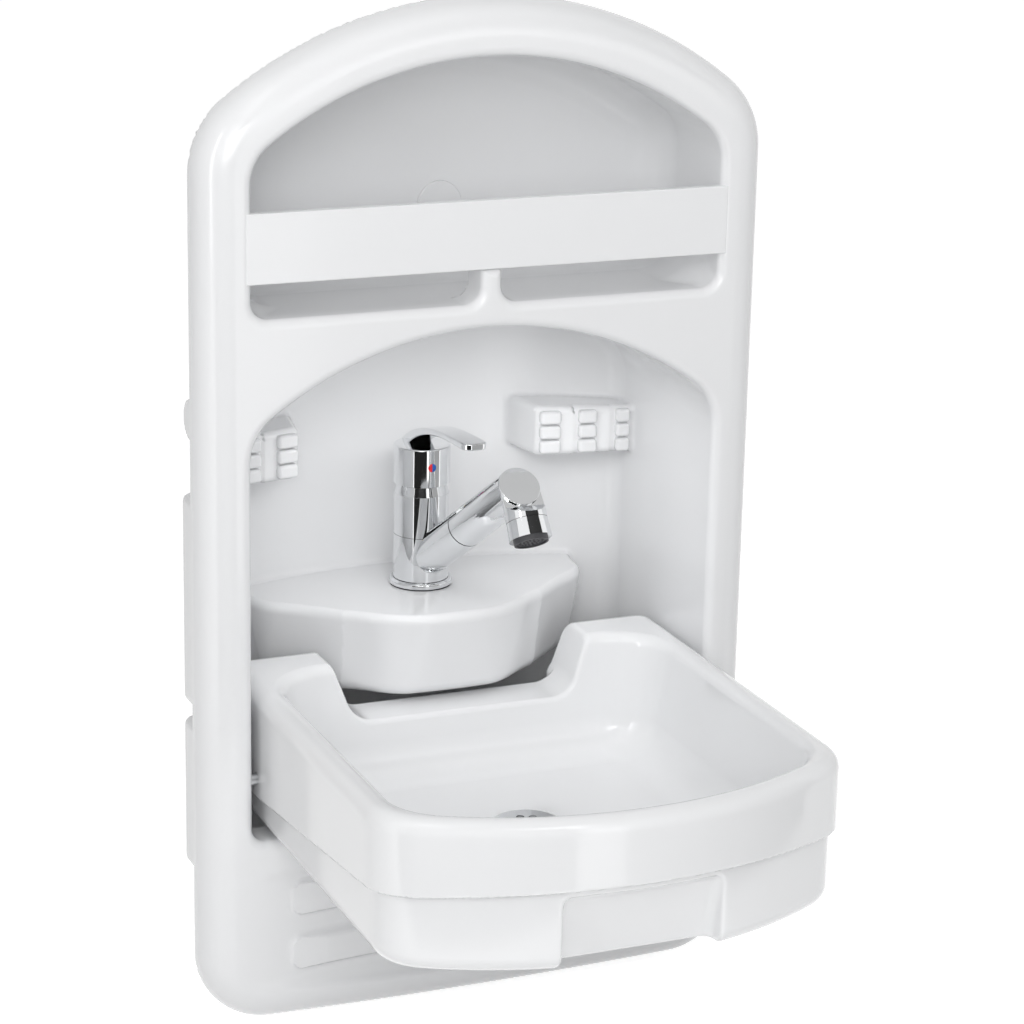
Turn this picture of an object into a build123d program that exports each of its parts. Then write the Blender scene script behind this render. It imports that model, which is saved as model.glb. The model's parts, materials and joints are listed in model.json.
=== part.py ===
"""Tip-up basin: a wall surround with a recess, a basin that folds up into it, and a mixer tap."""
import math
import os

from build123d import *

os.makedirs("parts", exist_ok=True)

# Frame of the model: millimetres, +X to the right seen from the room, +Y into the wall, +Z up.
# The origin lies in the wall plane, in the middle of the surround, level with its lowest edge.
# A depth is a distance behind the front face of the surround.

# How far a cutting block passes the piece that it cuts
overshoot = 1.0

# Clearance of pieces that turn or slide in one another, and the sides of every nut
running_clearance = 0.05
nut_sides = 6

# Surround
surround_half_width = 200.0
surround_crown_z = 697.0
surround_arch_radius = 290.0
surround_shoulder_radius = 60.0
surround_corner_radius = 48.0
surround_foot_sag = 4.0
surround_foot_z = surround_foot_sag
flange_depth = 28.0
nose_radius = 24.0
surround_wall = 4.0
return_wall = 7.0
lip_radius = 6.0

# Upper opening and its compartment
upper_border = 34.5
upper_half_width = surround_half_width - upper_border
upper_foot_z = 497.0
upper_crown_z = 660.0
upper_arch_radius = 255.0
upper_shoulder_radius = 32.0
upper_corner_radius = 12.0
upper_depth = 100.0
upper_inner_radius = 28.0
pan_corner_radius = 29.0
pan_wall = 3.5
pan_flange_width = 6.0
pan_flange_thickness = 3.0
wall_cap_radius = 16.0
wall_cap_thickness = 2.5
wall_cap_edge_radius = 1.2
wall_cap_z = 546.0

# Shelf rail across the upper opening
rail_foot_z = 521.0
rail_height = 46.0
rail_end_bite = 4.0
rail_half_length = upper_half_width + rail_end_bite
rail_thickness = 5.0
rail_edge_radius = 0.8
rail_clearance = 0.3
rail_rest_half_width = 7.3
rail_rest_fillet = 12.0

# Lower opening and its recess
lower_border = 33.7
lower_half_width = surround_half_width - lower_border
lower_foot_z = 137.5
lower_crown_z = 481.0
lower_arch_radius = 255.0
lower_shoulder_radius = 38.0
lower_corner_radius = 8.0
recess_step = 1.3
recess_half_width = lower_half_width - recess_step
recess_draw = 5.0
recess_rear_half_width = recess_half_width - recess_draw
recess_middle_depth = 180.0
recess_back_bow = 36.0
recess_side_depth = recess_middle_depth - recess_back_bow
recess_wall = 4.0
recess_corner_radius = 10.0
sump_floor_z = 75.0

# Low rails and round bosses on the sides of the recess
side_groove_z = 182.0
side_groove_height = 11.0
side_rail_head_z = 346.0
side_rail_rise = 12.0
side_rail_half_width = recess_rear_half_width + side_rail_rise
side_rail_depth = 140.0
side_rail_corner = 6.0
side_boss_radius = 15.0
side_boss_depth = 121.0
side_boss_z = 402.0

# Dished apron below the basin
apron_border = 48.0
apron_half_width = surround_half_width - apron_border
apron_dish_depth = 12.0
apron_foot_z = 24.0
apron_head_z = 120.0
apron_rib_end = 14.0
apron_rib_half_length = apron_half_width - apron_rib_end
apron_rib_foot_z = 42.0
apron_rib_height = 23.0
apron_rib_pitch = 40.0
apron_rib_rise = 5.0
apron_rib_corner = 5.0

# Tap ledge
ledge_z = 267.0
ledge_height = 62.0
ledge_taper = 11.0
ledge_wing_half_width = 128.0
ledge_wing_depth = 120.0
ledge_wing_radius = 14.0
ledge_neck_half_width = 74.0
ledge_neck_depth = 84.0
ledge_front_half_width = 52.0
ledge_front_depth = 49.0
ledge_front_crown = 3.0
ledge_front_radius = 18.0
ledge_edge_radius = 6.0
ledge_sole_radius = 9.0
ledge_wall = 4.0

# Toothbrush holders in the upper corners of the recess
holder_foot_z = 350.0
holder_height = 37.0
holder_inner_half_width = 90.0
holder_inner_depth = 130.0
holder_outer_depth = 117.0
holder_flare = 11.0
holder_edge_radius = 3.0
holder_pads = 3
holder_pad_rows = 3
holder_pad_width = 13.0
holder_pad_height = 10.8
holder_pad_pitch = 25.0
holder_pad_rise = 4.0
holder_pad_corner = 3.0
holder_groove = 1.2

# Basin
basin_rim_z = 242.0
basin_side_gap = 6.3
basin_half_width = lower_half_width - basin_side_gap
basin_reach = 270.0
basin_arch_radius = 285.0
basin_shoulder_radius = 42.0
basin_rear_depth = 83.0
basin_rear_radius = 14.0
basin_back_depth = 55.0
basin_lip_z = 197.0
basin_wall = 4.0
basin_rim_radius = 11.0
bowl_side_border = 18.0
bowl_half_width = basin_half_width - bowl_side_border
bowl_front_border = 15.0
bowl_reach = basin_reach - bowl_front_border
bowl_arch_radius = 262.0
bowl_shoulder_radius = 42.0
bowl_rear_depth = 44.0
bowl_rear_radius = 42.0
bowl_floor_z = 160.0
bowl_taper = 9.0
bowl_floor_radius = 25.0
bowl_rim_radius = 7.0
notch_z = 201.0
notch_half_width = 80.0
notch_top_half_width = 95.0
notch_front_depth = -20.0
notch_rear_depth = 75.0
notch_fillet = 12.0
step_z = 167.0
step_slope = 6.0
step_inset = 4.5

# Lower shell of the basin, with its finger grip and its joint at the back
under_z = 140.0
under_wall = 3.0
under_edge_radius = 12.0
under_overlap = 9.0
back_joint_depth = 6.0
back_joint_z = 182.0
back_joint_gap = 0.3
grip_half_width = 54.0
grip_head_z = 190.0
grip_head_recess = 14.0
grip_head_depth = grip_head_recess - basin_reach
grip_lean = 15.0
grip_foot_depth = grip_head_depth + grip_lean
grip_corner_radius = 6.0

# Pivots and stops of the basin
pivot_depth = 13.0
pivot_z = 180.0
pivot_boss_radius = 8.0
pivot_boss_length = 14.0
pivot_pin_radius = 4.0
pin_tip_reach = 1.0
pin_chamfer = 0.6
bush_radius = 7.0
bush_flange_radius = 9.0
bush_flange_thickness = 1.5
basin_closing_angle = 84.0
stop_depth = 70.0
stop_peg_z = 212.0
stop_peg_radius = 4.0
stop_block_height = 12.0
stop_block_width = 16.0
stop_gap = 0.3
stop_side_gap = 0.6

# Magnetic catch that holds the basin up
catch_depth = 18.0
catch_z = 385.0
magnet_cover = 2.0
magnet_radius = 6.0
magnet_length = 5.0
magnet_clearance = 0.05
keeper_radius = 7.0
keeper_thickness = 1.5

# Waste of the bowl
waste_depth = -75.0
waste_hole_radius = 19.0
waste_flange_radius = 23.0
waste_flange_thickness = 1.5
waste_slot_count = 8
waste_slot_radius = 2.6
waste_slot_circle = 11.0
waste_body_radius = 24.0
waste_inlet_radius = 17.0
waste_duct_width = 40.0
waste_duct_wall = 1.5
waste_duct_height = 9.0
screw_radius = 2.5
screw_boss_radius = 4.5
screw_head_radius = 4.5
screw_head_height = 1.6
screw_head_edge_radius = 0.8

# Outlet of the sump: a threaded neck above a plain spigot for the drain hose
sump_outlet_depth = 110.0
sump_outlet_radius = 16.0
sump_outlet_bore = 13.0
sump_outlet_length = 38.0
sump_outlet_flange_radius = 26.0
sump_outlet_flange_thickness = 3.0
sump_thread_radius = 17.0
sump_thread_foot_z = 58.0
sump_seal_radius = 24.0
sump_seal_height = 2.0
sump_nut_radius = 25.0
sump_nut_height = 9.0

# Tap on the ledge
tap_depth = 125.6
tap_body_radius = 19.7
tap_base_radius = 22.5
tap_base_height = 4.0
tap_base_edge_radius = 2.0
tap_gasket_radius = 22.0
tap_gasket_height = 1.2
tap_gap = 0.3
tap_core_radius = 14.0
tap_core_head_z = 315.0
tap_joint_z = 305.0
tap_upper_z = 335.0
collar_head_z = 341.5
collar_foot_radius = 19.4
collar_head_radius = 17.5
oring_section_radius = 0.95
oring_groove_radius = 12.0
oring_groove_height = 2.4
oring_groove_z = (276.0, 299.0)
water_groove_z = 284.0
water_groove_height = 9.0
waterway_radius = 2.5

# Fixing of the tap below the ledge, and its two supply tails that turn to the back
shank_radius = 15.0
shank_length = 30.0
shank_clearance = 0.5
shank_seal_height = 2.0
shank_washer_radius = 24.0
shank_washer_height = 2.5
shank_nut_width = 41.0
shank_nut_height = 9.0
supply_tail_radius = 5.0
supply_tail_bore = 3.5
supply_tail_offset = 8.0
supply_tail_grip = 20.0
supply_tail_drop = 3.0
supply_tail_bend = 8.0
supply_tail_end_depth = 168.0

# Spout with its hand piece; it stands turned a little to the right
spout_root_z = 281.5
spout_head_x = 28.7
spout_head_depth = 16.4
spout_head_z = 365.9
spout_radius = 14.0
spout_joint = 66.0
spout_sleeve_length = 26.0
hand_seal_radius = 13.6
hand_seal_thickness = 1.0
hand_spigot_radius = 9.95
hand_spigot_length = 18.0
hand_bore = 6.0
hand_bore_end = 84.5
hand_hollow_start = 80.5
end_face_rise = 47.0
end_cap_radius = 14.6
end_cap_thickness = 1.6
end_cap_edge_radius = 0.4
end_valley_gap = 0.5
end_valley_angle = 47.5
end_cut_reach = 45.0
nozzle_fall = 56.3
nozzle_radius = 14.3
nozzle_wall = 2.3
nozzle_joint = 25.0
nozzle_joint_gap = 0.3
nozzle_mouth = 38.0
nozzle_mouth_radius = 14.8
aerator_radius = 11.9
aerator_face = 41.0
aerator_grip = 8.0
aerator_wall = 1.4
aerator_recess = 1.0
aerator_hole_radius = 0.9
aerator_hole_pitch = 2.6
aerator_hole_rings = 3
aerator_ring_holes = 6

# Cartridge and lever
cartridge_radius = 13.9
cartridge_seat_z = 325.0
rotor_radius = 12.0
rotor_clearance = 0.1
rotor_head_z = 338.0
stem_pivot_z = 334.0
stem_radius = 4.0
stem_slot_half_width = 4.3
stem_slot_front = 4.5
stem_slot_rear = 7.0
stem_pin_radius = 1.5
stem_pin_half_length = 11.4
stem_head_z = 362.0
cap_radius = 20.2
cap_foot_z = 342.5
cap_head_z = 370.0
cap_wall = 1.5
cap_roof = 3.0
cap_edge_radius = 1.2
cap_boss_radius = 7.0
cap_boss_height = 9.0
blade_half_width = 8.8
blade_top = ((144.0, 370.0), (118.0, 383.0), (75.0, 392.5), (24.0, 396.0))
blade_under = ((24.0, 391.0), (80.0, 387.5), (112.0, 379.0), (130.0, 370.0))
blade_long_edge = 35.0
blade_tip_radius = 6.0
blade_edge_radius = 1.0
dot_radius = 3.0
dot_z = 357.0
dot_sink = 0.8
dot_split = 0.1


def behind(depth):
    """Y of a point this far behind the front face of the surround."""
    return depth - flange_depth


def facing_room(y):
    """Upright plane at this Y, with its normal towards the room."""
    return Plane.XZ.offset(-y)


def facing_down(z):
    """Level plane at this height, with its normal down and its local Y towards the room."""
    return Plane(origin=(0, 0, z), x_dir=(1, 0, 0), z_dir=(0, 0, -1))


def room(depth):
    """Local Y on a facing_down plane of a point this far behind the front face."""
    return -behind(depth)


def arched_block(plane, length, half_width, foot, crown, arch, shoulder, corner, sag=0.0, taper=0.0):
    """Block with straight sides and an arched head, grown from the plane along its normal."""
    spring = crown - arch + math.sqrt(arch**2 - half_width**2)
    with BuildSketch(plane) as outline:
        with BuildLine():
            Line((-half_width, foot), (-half_width, spring))
            ThreePointArc((-half_width, spring), (0, crown), (half_width, spring))
            Line((half_width, spring), (half_width, foot))
            if sag:
                ThreePointArc((half_width, foot), (0, foot - sag), (-half_width, foot))
            else:
                Line((half_width, foot), (-half_width, foot))
        make_face()
        fillet(outline.vertices().group_by(Axis.Y)[-1], shoulder)
        fillet(outline.vertices().group_by(Axis.Y)[0], corner)
    return extrude(outline.sketch, amount=length, taper=taper, mode=Mode.PRIVATE)


def finish(block, name):
    """Name a finished piece and write it to its own file."""
    block.part.label = name
    export_step(block.part, f"parts/{name}.step")


# Places that several pieces share
front_y = behind(0)
pivot_y = behind(pivot_depth)
tap_y = behind(tap_depth)


def side_axis_plane(x, depth, z):
    """Plane with its normal along +X, its origin at this place and its local X along +Y."""
    return Plane(origin=(x, behind(depth), z), x_dir=(0, 1, 0), z_dir=(1, 0, 0))


def mirrored_pair(shape):
    """The shape and its mirror image on the other side of the middle."""
    return shape + mirror(shape, about=Plane.YZ, mode=Mode.PRIVATE)


# Surround frame: the front moulding with its rolled edge, two openings and the dished apron


def surround_volume(inset):
    """Outside of the surround, set in by this much, with its rolled front edge."""
    with BuildPart() as volume:
        add(
            arched_block(
                facing_room(0),
                flange_depth - inset,
                surround_half_width - inset,
                surround_foot_z + inset,
                surround_crown_z - inset,
                surround_arch_radius - inset,
                surround_shoulder_radius - inset,
                surround_corner_radius - inset,
                sag=surround_foot_sag,
            )
        )
        fillet(volume.faces().sort_by(Axis.Y)[0].edges(), nose_radius - inset)
    return volume.part


def upper_volume(grow, rear_y, corner, front=front_y):
    """Space of the upper opening, grown by this much, from the front back to rear_y."""
    return arched_block(
        facing_room(rear_y),
        rear_y - front,
        upper_half_width + grow,
        upper_foot_z - grow,
        upper_crown_z + grow,
        upper_arch_radius + grow,
        upper_shoulder_radius + grow,
        corner + grow,
    )


def lower_volume(grow, rear_y, foot_z=lower_foot_z, front=front_y):
    """Space of the lower opening, grown by this much, from the front back to rear_y."""
    return arched_block(
        facing_room(rear_y),
        rear_y - front,
        lower_half_width + grow,
        foot_z - grow,
        lower_crown_z + grow,
        lower_arch_radius + grow,
        lower_shoulder_radius + grow,
        lower_corner_radius + grow,
    )


def apron_dish(grow):
    """Space of the shallow hollow with an upright axis, grown by this much."""
    wide = apron_half_width + grow
    ahead_y = front_y - apron_dish_depth
    with BuildSketch(Plane.XY.offset(apron_foot_z - grow)) as section:
        with BuildLine():
            ThreePointArc((-wide, front_y), (0, front_y + apron_dish_depth + grow), (wide, front_y))
            Polyline((wide, front_y), (wide, ahead_y), (-wide, ahead_y), (-wide, front_y))
        make_face()
    height = apron_head_z - apron_foot_z + 2 * grow
    return extrude(section.sketch, amount=height, mode=Mode.PRIVATE)


with BuildPart() as apron_ribs:
    with BuildSketch(facing_room(front_y + apron_dish_depth)):
        with Locations(
            (0, apron_rib_foot_z + apron_rib_height / 2),
            (0, apron_rib_foot_z + apron_rib_height / 2 + apron_rib_pitch),
        ):
            RectangleRounded(2 * apron_rib_half_length, apron_rib_height, apron_rib_corner)
    extrude(amount=apron_dish_depth)
    add(apron_dish(-apron_rib_rise), mode=Mode.SUBTRACT)

with BuildPart() as flange_hollow:
    add(surround_volume(surround_wall))
    add(upper_volume(return_wall, 0, upper_corner_radius), mode=Mode.SUBTRACT)
    add(lower_volume(return_wall, 0), mode=Mode.SUBTRACT)
    add(apron_dish(surround_wall), mode=Mode.SUBTRACT)

# The magnets meet their keepers at this place when the basin is folded up
closing = math.radians(basin_closing_angle)
catch_rise = catch_z - pivot_z
catch_back = catch_depth - pivot_depth
keeper_depth = pivot_depth + catch_back * math.cos(closing) - catch_rise * math.sin(closing)
keeper_z = pivot_z + catch_back * math.sin(closing) + catch_rise * math.cos(closing)
magnet_face_x = lower_half_width + magnet_cover

with BuildPart() as surround_frame:
    add(surround_volume(0))
    add(apron_dish(0), mode=Mode.SUBTRACT)
    add(apron_ribs.part)
    add(flange_hollow.part, mode=Mode.SUBTRACT)
    add(upper_volume(0, 0, upper_corner_radius), mode=Mode.SUBTRACT)
    add(lower_volume(0, 0), mode=Mode.SUBTRACT)
    with BuildSketch(facing_room(0)):
        with Locations((0, upper_foot_z)):
            Rectangle(
                2 * rail_rest_half_width,
                rail_foot_z - upper_foot_z,
                align=(Align.CENTER, Align.MIN),
            )
            Rectangle(
                2 * (rail_rest_half_width + rail_rest_fillet),
                rail_rest_fillet,
                align=(Align.CENTER, Align.MIN),
            )
        with Locations(
            (rail_rest_half_width + rail_rest_fillet, upper_foot_z + rail_rest_fillet),
            (-rail_rest_half_width - rail_rest_fillet, upper_foot_z + rail_rest_fillet),
        ):
            Circle(rail_rest_fillet, mode=Mode.SUBTRACT)
    extrude(amount=flange_depth)
    front_face = surround_frame.faces().filter_by(Axis.Y).group_by(Axis.Y)[0].sort_by(SortBy.AREA)[-1]
    openings = front_face.inner_wires().filter_by(lambda wire: wire.center().Z > lower_foot_z)
    fillet(openings.edges(), lip_radius)
    with Locations((0, front_y, rail_foot_z - rail_clearance)):
        Box(
            2 * (rail_half_length + rail_clearance),
            rail_thickness,
            rail_height + 2 * rail_clearance,
            align=(Align.CENTER, Align.MIN, Align.MIN),
            mode=Mode.SUBTRACT,
        )
    bush_bore_length = 2 * (lower_half_width + return_wall + bush_flange_thickness)
    with BuildSketch(side_axis_plane(0, pivot_depth, pivot_z)):
        Circle(bush_radius)
    extrude(amount=bush_bore_length / 2, both=True, mode=Mode.SUBTRACT)
    with BuildSketch(side_axis_plane(magnet_face_x, catch_depth, catch_z)):
        Circle(magnet_radius + magnet_clearance)
    extrude(amount=magnet_length, mode=Mode.SUBTRACT)
    with BuildSketch(side_axis_plane(-magnet_face_x, catch_depth, catch_z)):
        Circle(magnet_radius + magnet_clearance)
    extrude(amount=-magnet_length, mode=Mode.SUBTRACT)
finish(surround_frame, "surround_frame")

# Shelf rail: a plain bar let into the sides of the upper opening

with BuildPart() as shelf_rail:
    with Locations((0, front_y, rail_foot_z)):
        Box(
            2 * rail_half_length,
            rail_thickness,
            rail_height,
            align=(Align.CENTER, Align.MIN, Align.MIN),
        )
    fillet(shelf_rail.faces().sort_by(Axis.Y)[0].edges(), rail_edge_radius)
finish(shelf_rail, "shelf_rail")

# Upper compartment: a shallow pan behind the upper opening

with BuildPart() as upper_inside:
    add(upper_volume(0, behind(upper_depth), pan_corner_radius, front=0))
    fillet(upper_inside.faces().sort_by(Axis.Y)[-1].edges(), upper_inner_radius)

with BuildPart() as upper_compartment:
    pan_rear = behind(upper_depth) + pan_wall
    add(upper_volume(pan_wall, pan_rear, pan_corner_radius, front=0))
    fillet(upper_compartment.faces().sort_by(Axis.Y)[-1].edges(), upper_inner_radius + pan_wall)
    add(upper_volume(pan_flange_width, pan_flange_thickness, upper_corner_radius, front=0))
    add(upper_inside.part, mode=Mode.SUBTRACT)
finish(upper_compartment, "upper_compartment")

with BuildPart() as wall_cap:
    with BuildSketch(facing_room(behind(upper_depth))):
        with Locations((0, wall_cap_z)):
            Circle(wall_cap_radius)
    extrude(amount=wall_cap_thickness)
    fillet(wall_cap.faces().sort_by(Axis.Y)[0].edges(), wall_cap_edge_radius)
finish(wall_cap, "wall_cap")

# Lower recess: a deep pan with a sump, the tap ledge and two toothbrush holders


def recess_volume(grow):
    """Inside of the recess, grown by this much: splayed sides and a curved back."""
    side = (recess_half_width + grow, front_y)
    corner = (recess_rear_half_width + grow, behind(recess_side_depth) + grow)
    with BuildSketch() as plan:
        with BuildLine():
            Line((-side[0], side[1]), (-corner[0], corner[1]))
            ThreePointArc(
                (-corner[0], corner[1]),
                (0, behind(recess_middle_depth) + grow),
                corner,
            )
            Line(corner, side)
            Line(side, (-side[0], side[1]))
        make_face()
        fillet(plan.vertices().group_by(Axis.Y)[-1], recess_corner_radius + grow)
    rear_y = behind(recess_middle_depth) + recess_wall + grow + overshoot
    arch = lower_volume(grow, rear_y, foot_z=sump_floor_z, front=0)
    return arch & extrude(plan.sketch, amount=surround_crown_z, mode=Mode.PRIVATE)


def ledge_volume(inset, drop, rear_depth):
    """Tap ledge set in by this much, with its top lowered and its back at this depth."""
    wing = (ledge_wing_half_width - inset, room(ledge_wing_depth + inset))
    neck = (ledge_neck_half_width - inset, room(ledge_neck_depth + inset))
    front = (ledge_front_half_width - inset, room(ledge_front_depth + ledge_front_crown + inset))
    back = (ledge_wing_half_width - inset, room(rear_depth))
    with BuildSketch(facing_down(ledge_z - drop)) as plan:
        with BuildLine():
            right = Polyline(back, wing, neck, front)
            mirror(right, about=Plane.YZ)
            ThreePointArc(front, (0, room(ledge_front_depth + inset)), (-front[0], front[1]))
            Line(back, (-back[0], back[1]))
        make_face()
        fillet(plan.vertices().group_by(Axis.Y)[-1], ledge_front_radius - inset)
        fillet(plan.vertices().group_by(Axis.Y)[1], ledge_wing_radius - inset)
    return extrude(plan.sketch, amount=ledge_height - 2 * drop, taper=ledge_taper, mode=Mode.PRIVATE)


def holder_volume(inset):
    """Right toothbrush holder set in by this much, running out through the back."""
    rear_y = behind(recess_middle_depth + recess_wall + inset + overshoot)
    with BuildSketch(Plane.XY.offset(holder_foot_z + inset)) as plan:
        with BuildLine():
            Polyline(
                (holder_inner_half_width - holder_flare, rear_y),
                (holder_inner_half_width, behind(holder_inner_depth)),
                (recess_half_width, behind(holder_outer_depth)),
                (recess_half_width, rear_y),
                close=True,
            )
        make_face()
        if inset:
            offset(amount=-inset, mode=Mode.REPLACE)
    return extrude(plan.sketch, amount=holder_height - 2 * inset, mode=Mode.PRIVATE)


holder_run = recess_half_width - holder_inner_half_width
holder_fall = holder_inner_depth - holder_outer_depth
holder_length = math.hypot(holder_run, holder_fall)
holder_face = Plane(
    origin=(
        holder_inner_half_width + holder_run / 2,
        behind(holder_inner_depth) - holder_fall / 2,
        holder_foot_z + holder_height / 2,
    ),
    x_dir=(holder_run, -holder_fall, 0),
    z_dir=(-holder_fall, -holder_run, 0),
)

with BuildPart() as holder_outside:
    add(holder_volume(0))
    fillet(holder_outside.faces().sort_by(Axis.Y)[0].edges(), holder_edge_radius)
    with BuildSketch(holder_face):
        with GridLocations(holder_pad_pitch, holder_pad_height, holder_pads, holder_pad_rows):
            RectangleRounded(holder_pad_width, holder_pad_height - holder_groove, holder_pad_corner)
    extrude(amount=holder_pad_rise)

with BuildPart() as side_rails:
    for rail_foot, rail_head in (
        (sump_floor_z - recess_wall, side_groove_z),
        (side_groove_z + side_groove_height, side_rail_head_z),
    ):
        with Locations((recess_rear_half_width, pan_flange_thickness, rail_foot)):
            Box(
                side_rail_half_width - recess_rear_half_width,
                behind(side_rail_depth) - pan_flange_thickness,
                rail_head - rail_foot,
                align=Align.MIN,
            )
    fillet(side_rails.faces().sort_by(Axis.X)[-2:].edges().filter_by(Axis.Y), side_rail_corner)
    with BuildSketch(side_axis_plane(recess_rear_half_width, side_boss_depth, side_boss_z)):
        Circle(side_boss_radius)
    extrude(amount=side_rail_half_width - recess_rear_half_width)

with BuildPart() as recess_inside:
    add(recess_volume(0))
    with Locations((0, 0, lower_foot_z)):
        Box(
            2 * (recess_half_width + recess_wall),
            recess_wall,
            lower_foot_z,
            align=(Align.CENTER, Align.MIN, Align.MAX),
            mode=Mode.SUBTRACT,
        )

with BuildPart() as ledge_outside:
    add(ledge_volume(0, 0, recess_middle_depth + recess_wall))
    for level, radius in ((0, ledge_sole_radius), (-1, ledge_edge_radius)):
        rim = ledge_outside.faces().sort_by(Axis.Z)[level].edges()
        fillet(rim.filter_by(lambda e: e.center().Y < behind(ledge_wing_depth)), radius)

with BuildPart() as lower_recess:
    add(recess_volume(recess_wall))
    add(mirrored_pair(side_rails.part))
    add(lower_volume(pan_flange_width, pan_flange_thickness, front=0))
    add(recess_inside.part, mode=Mode.SUBTRACT)
    fittings = ledge_outside.part + mirrored_pair(holder_outside.part)
    add(fittings & recess_volume(recess_wall / 2))
    hollow_rear_depth = recess_middle_depth + ledge_height
    add(ledge_volume(ledge_wall, ledge_wall, hollow_rear_depth), mode=Mode.SUBTRACT)
    add(mirrored_pair(holder_volume(recess_wall)), mode=Mode.SUBTRACT)
    with Locations((0, tap_y, ledge_z)):
        Cylinder(shank_radius + shank_clearance, 2 * ledge_wall, mode=Mode.SUBTRACT)
    with Locations((0, behind(sump_outlet_depth), sump_floor_z)):
        Cylinder(sump_thread_radius + shank_clearance, 2 * recess_wall, mode=Mode.SUBTRACT)
finish(lower_recess, "lower_recess")

# Basin: rim, skirt and bowl in one moulding, closed below by a shell with a finger grip

step_rise = math.tan(math.radians(step_slope))


def step_height(depth):
    """Height of the skirt's lower edge at this depth; it climbs towards the room."""
    return step_z - depth * step_rise


def basin_block(inset, top_z, foot_z):
    """Plan of the basin set in by this much, as a block between two heights."""
    return arched_block(
        facing_down(top_z),
        top_z - foot_z,
        basin_half_width - inset,
        room(basin_rear_depth - inset),
        room(-basin_reach + inset),
        basin_arch_radius - inset,
        basin_shoulder_radius - inset,
        basin_rear_radius,
    )


def bowl_volume(grow):
    """Space inside the bowl, grown by this much, with its rounded floor."""
    with BuildPart() as volume:
        add(
            arched_block(
                facing_down(basin_rim_z),
                basin_rim_z - bowl_floor_z + grow,
                bowl_half_width + grow,
                room(bowl_rear_depth + grow),
                room(-bowl_reach - grow),
                bowl_arch_radius + grow,
                bowl_shoulder_radius + grow,
                bowl_rear_radius + grow,
                taper=bowl_taper,
            )
        )
        fillet(volume.faces().sort_by(Axis.Z)[0].edges(), bowl_floor_radius + grow)
    return volume.part


def notch_volume(grow):
    """Space of the notch in the back of the rim, grown by this much."""
    top = basin_rim_z
    side = notch_top_half_width + grow
    wide = basin_half_width - basin_rim_radius
    with BuildSketch(facing_room(behind(basin_rear_depth) + overshoot)) as outline:
        with BuildLine():
            right = Polyline(
                (0, notch_z - grow),
                (notch_half_width + grow, notch_z - grow),
                (side, top),
                (wide, top),
                (wide, top + notch_fillet),
                (0, top + notch_fillet),
            )
            mirror(right, about=Plane.YZ)
        make_face()
        bends = [v for v in outline.vertices() if overshoot < abs(v.X) < wide - overshoot]
        fillet(bends, notch_fillet)
    length = basin_rear_depth - notch_front_depth + overshoot
    return extrude(outline.sketch, amount=length, mode=Mode.PRIVATE)


def side_band(lower_line, upper_line):
    """Solid across the basin between two lines drawn in its side view."""
    with BuildSketch(Plane.YZ) as outline:
        with BuildLine():
            Polyline(*lower_line, *reversed(upper_line), close=True)
        make_face()
    half_width = basin_half_width + overshoot
    return extrude(outline.sketch, amount=half_width, both=True, mode=Mode.PRIVATE)


front_depth = -basin_reach - overshoot
front_end = behind(front_depth)
rear_end = behind(basin_rear_depth + overshoot)
sole_radius = pivot_z - under_z
tab_front_y = behind(basin_back_depth - back_joint_depth)

with BuildPart() as below_skirt:
    add(
        side_band(
            ((front_end, 0), (rear_end, 0)),
            (
                (front_end, step_height(front_depth)),
                (tab_front_y, step_height(basin_back_depth - back_joint_depth)),
                (tab_front_y, back_joint_z),
                (behind(basin_back_depth), back_joint_z),
                (behind(basin_back_depth), basin_lip_z),
                (rear_end, basin_lip_z),
            ),
        )
    )
    add(bowl_volume(basin_wall), mode=Mode.SUBTRACT)

with BuildPart() as skirt_hollow:
    add(basin_block(basin_wall, basin_rim_z - basin_wall, under_z))
    add(bowl_volume(basin_wall), mode=Mode.SUBTRACT)
    add(notch_volume(basin_wall), mode=Mode.SUBTRACT)
    add(
        side_band(
            ((behind(basin_back_depth - basin_wall), 0), (rear_end, 0)),
            (
                (behind(basin_back_depth - basin_wall), basin_lip_z + basin_wall),
                (rear_end, basin_lip_z + basin_wall),
            ),
        ),
        mode=Mode.SUBTRACT,
    )

with BuildPart() as basin_bowl:
    add(basin_block(0, basin_rim_z, under_z))
    fillet(basin_bowl.faces().sort_by(Axis.Z)[-1].edges(), basin_rim_radius)
    add(below_skirt.part, mode=Mode.SUBTRACT)
    add(skirt_hollow.part, mode=Mode.SUBTRACT)
    for side in (1, -1):
        with BuildSketch(side_axis_plane(side * (basin_half_width - basin_wall), pivot_depth, pivot_z)):
            Circle(pivot_boss_radius)
        extrude(amount=-side * pivot_boss_length)
    add(bowl_volume(0), mode=Mode.SUBTRACT)
    rim_inner_edges = basin_bowl.faces().filter_by(Axis.Z).sort_by(Axis.Z).last.inner_wires()[0].edges()
    fillet(rim_inner_edges, bowl_rim_radius)
    add(notch_volume(0), mode=Mode.SUBTRACT)
    with Locations((0, behind(notch_rear_depth), notch_z)):
        Box(
            2 * notch_half_width,
            basin_rear_depth,
            basin_rim_z,
            align=(Align.CENTER, Align.MIN, Align.CENTER),
            mode=Mode.SUBTRACT,
        )
    with BuildSketch(side_axis_plane(0, pivot_depth, pivot_z)):
        Circle(pivot_pin_radius)
    extrude(amount=basin_half_width + overshoot, both=True, mode=Mode.SUBTRACT)
    with BuildSketch(side_axis_plane(0, stop_depth, stop_peg_z)):
        Circle(stop_peg_radius)
    extrude(amount=basin_half_width + overshoot, both=True, mode=Mode.SUBTRACT)
    with Locations((0, behind(waste_depth), bowl_floor_z)):
        Cylinder(waste_hole_radius, 2 * (basin_wall + overshoot), mode=Mode.SUBTRACT)
        Cylinder(waste_flange_radius, 2 * waste_flange_thickness, mode=Mode.SUBTRACT)
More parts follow.
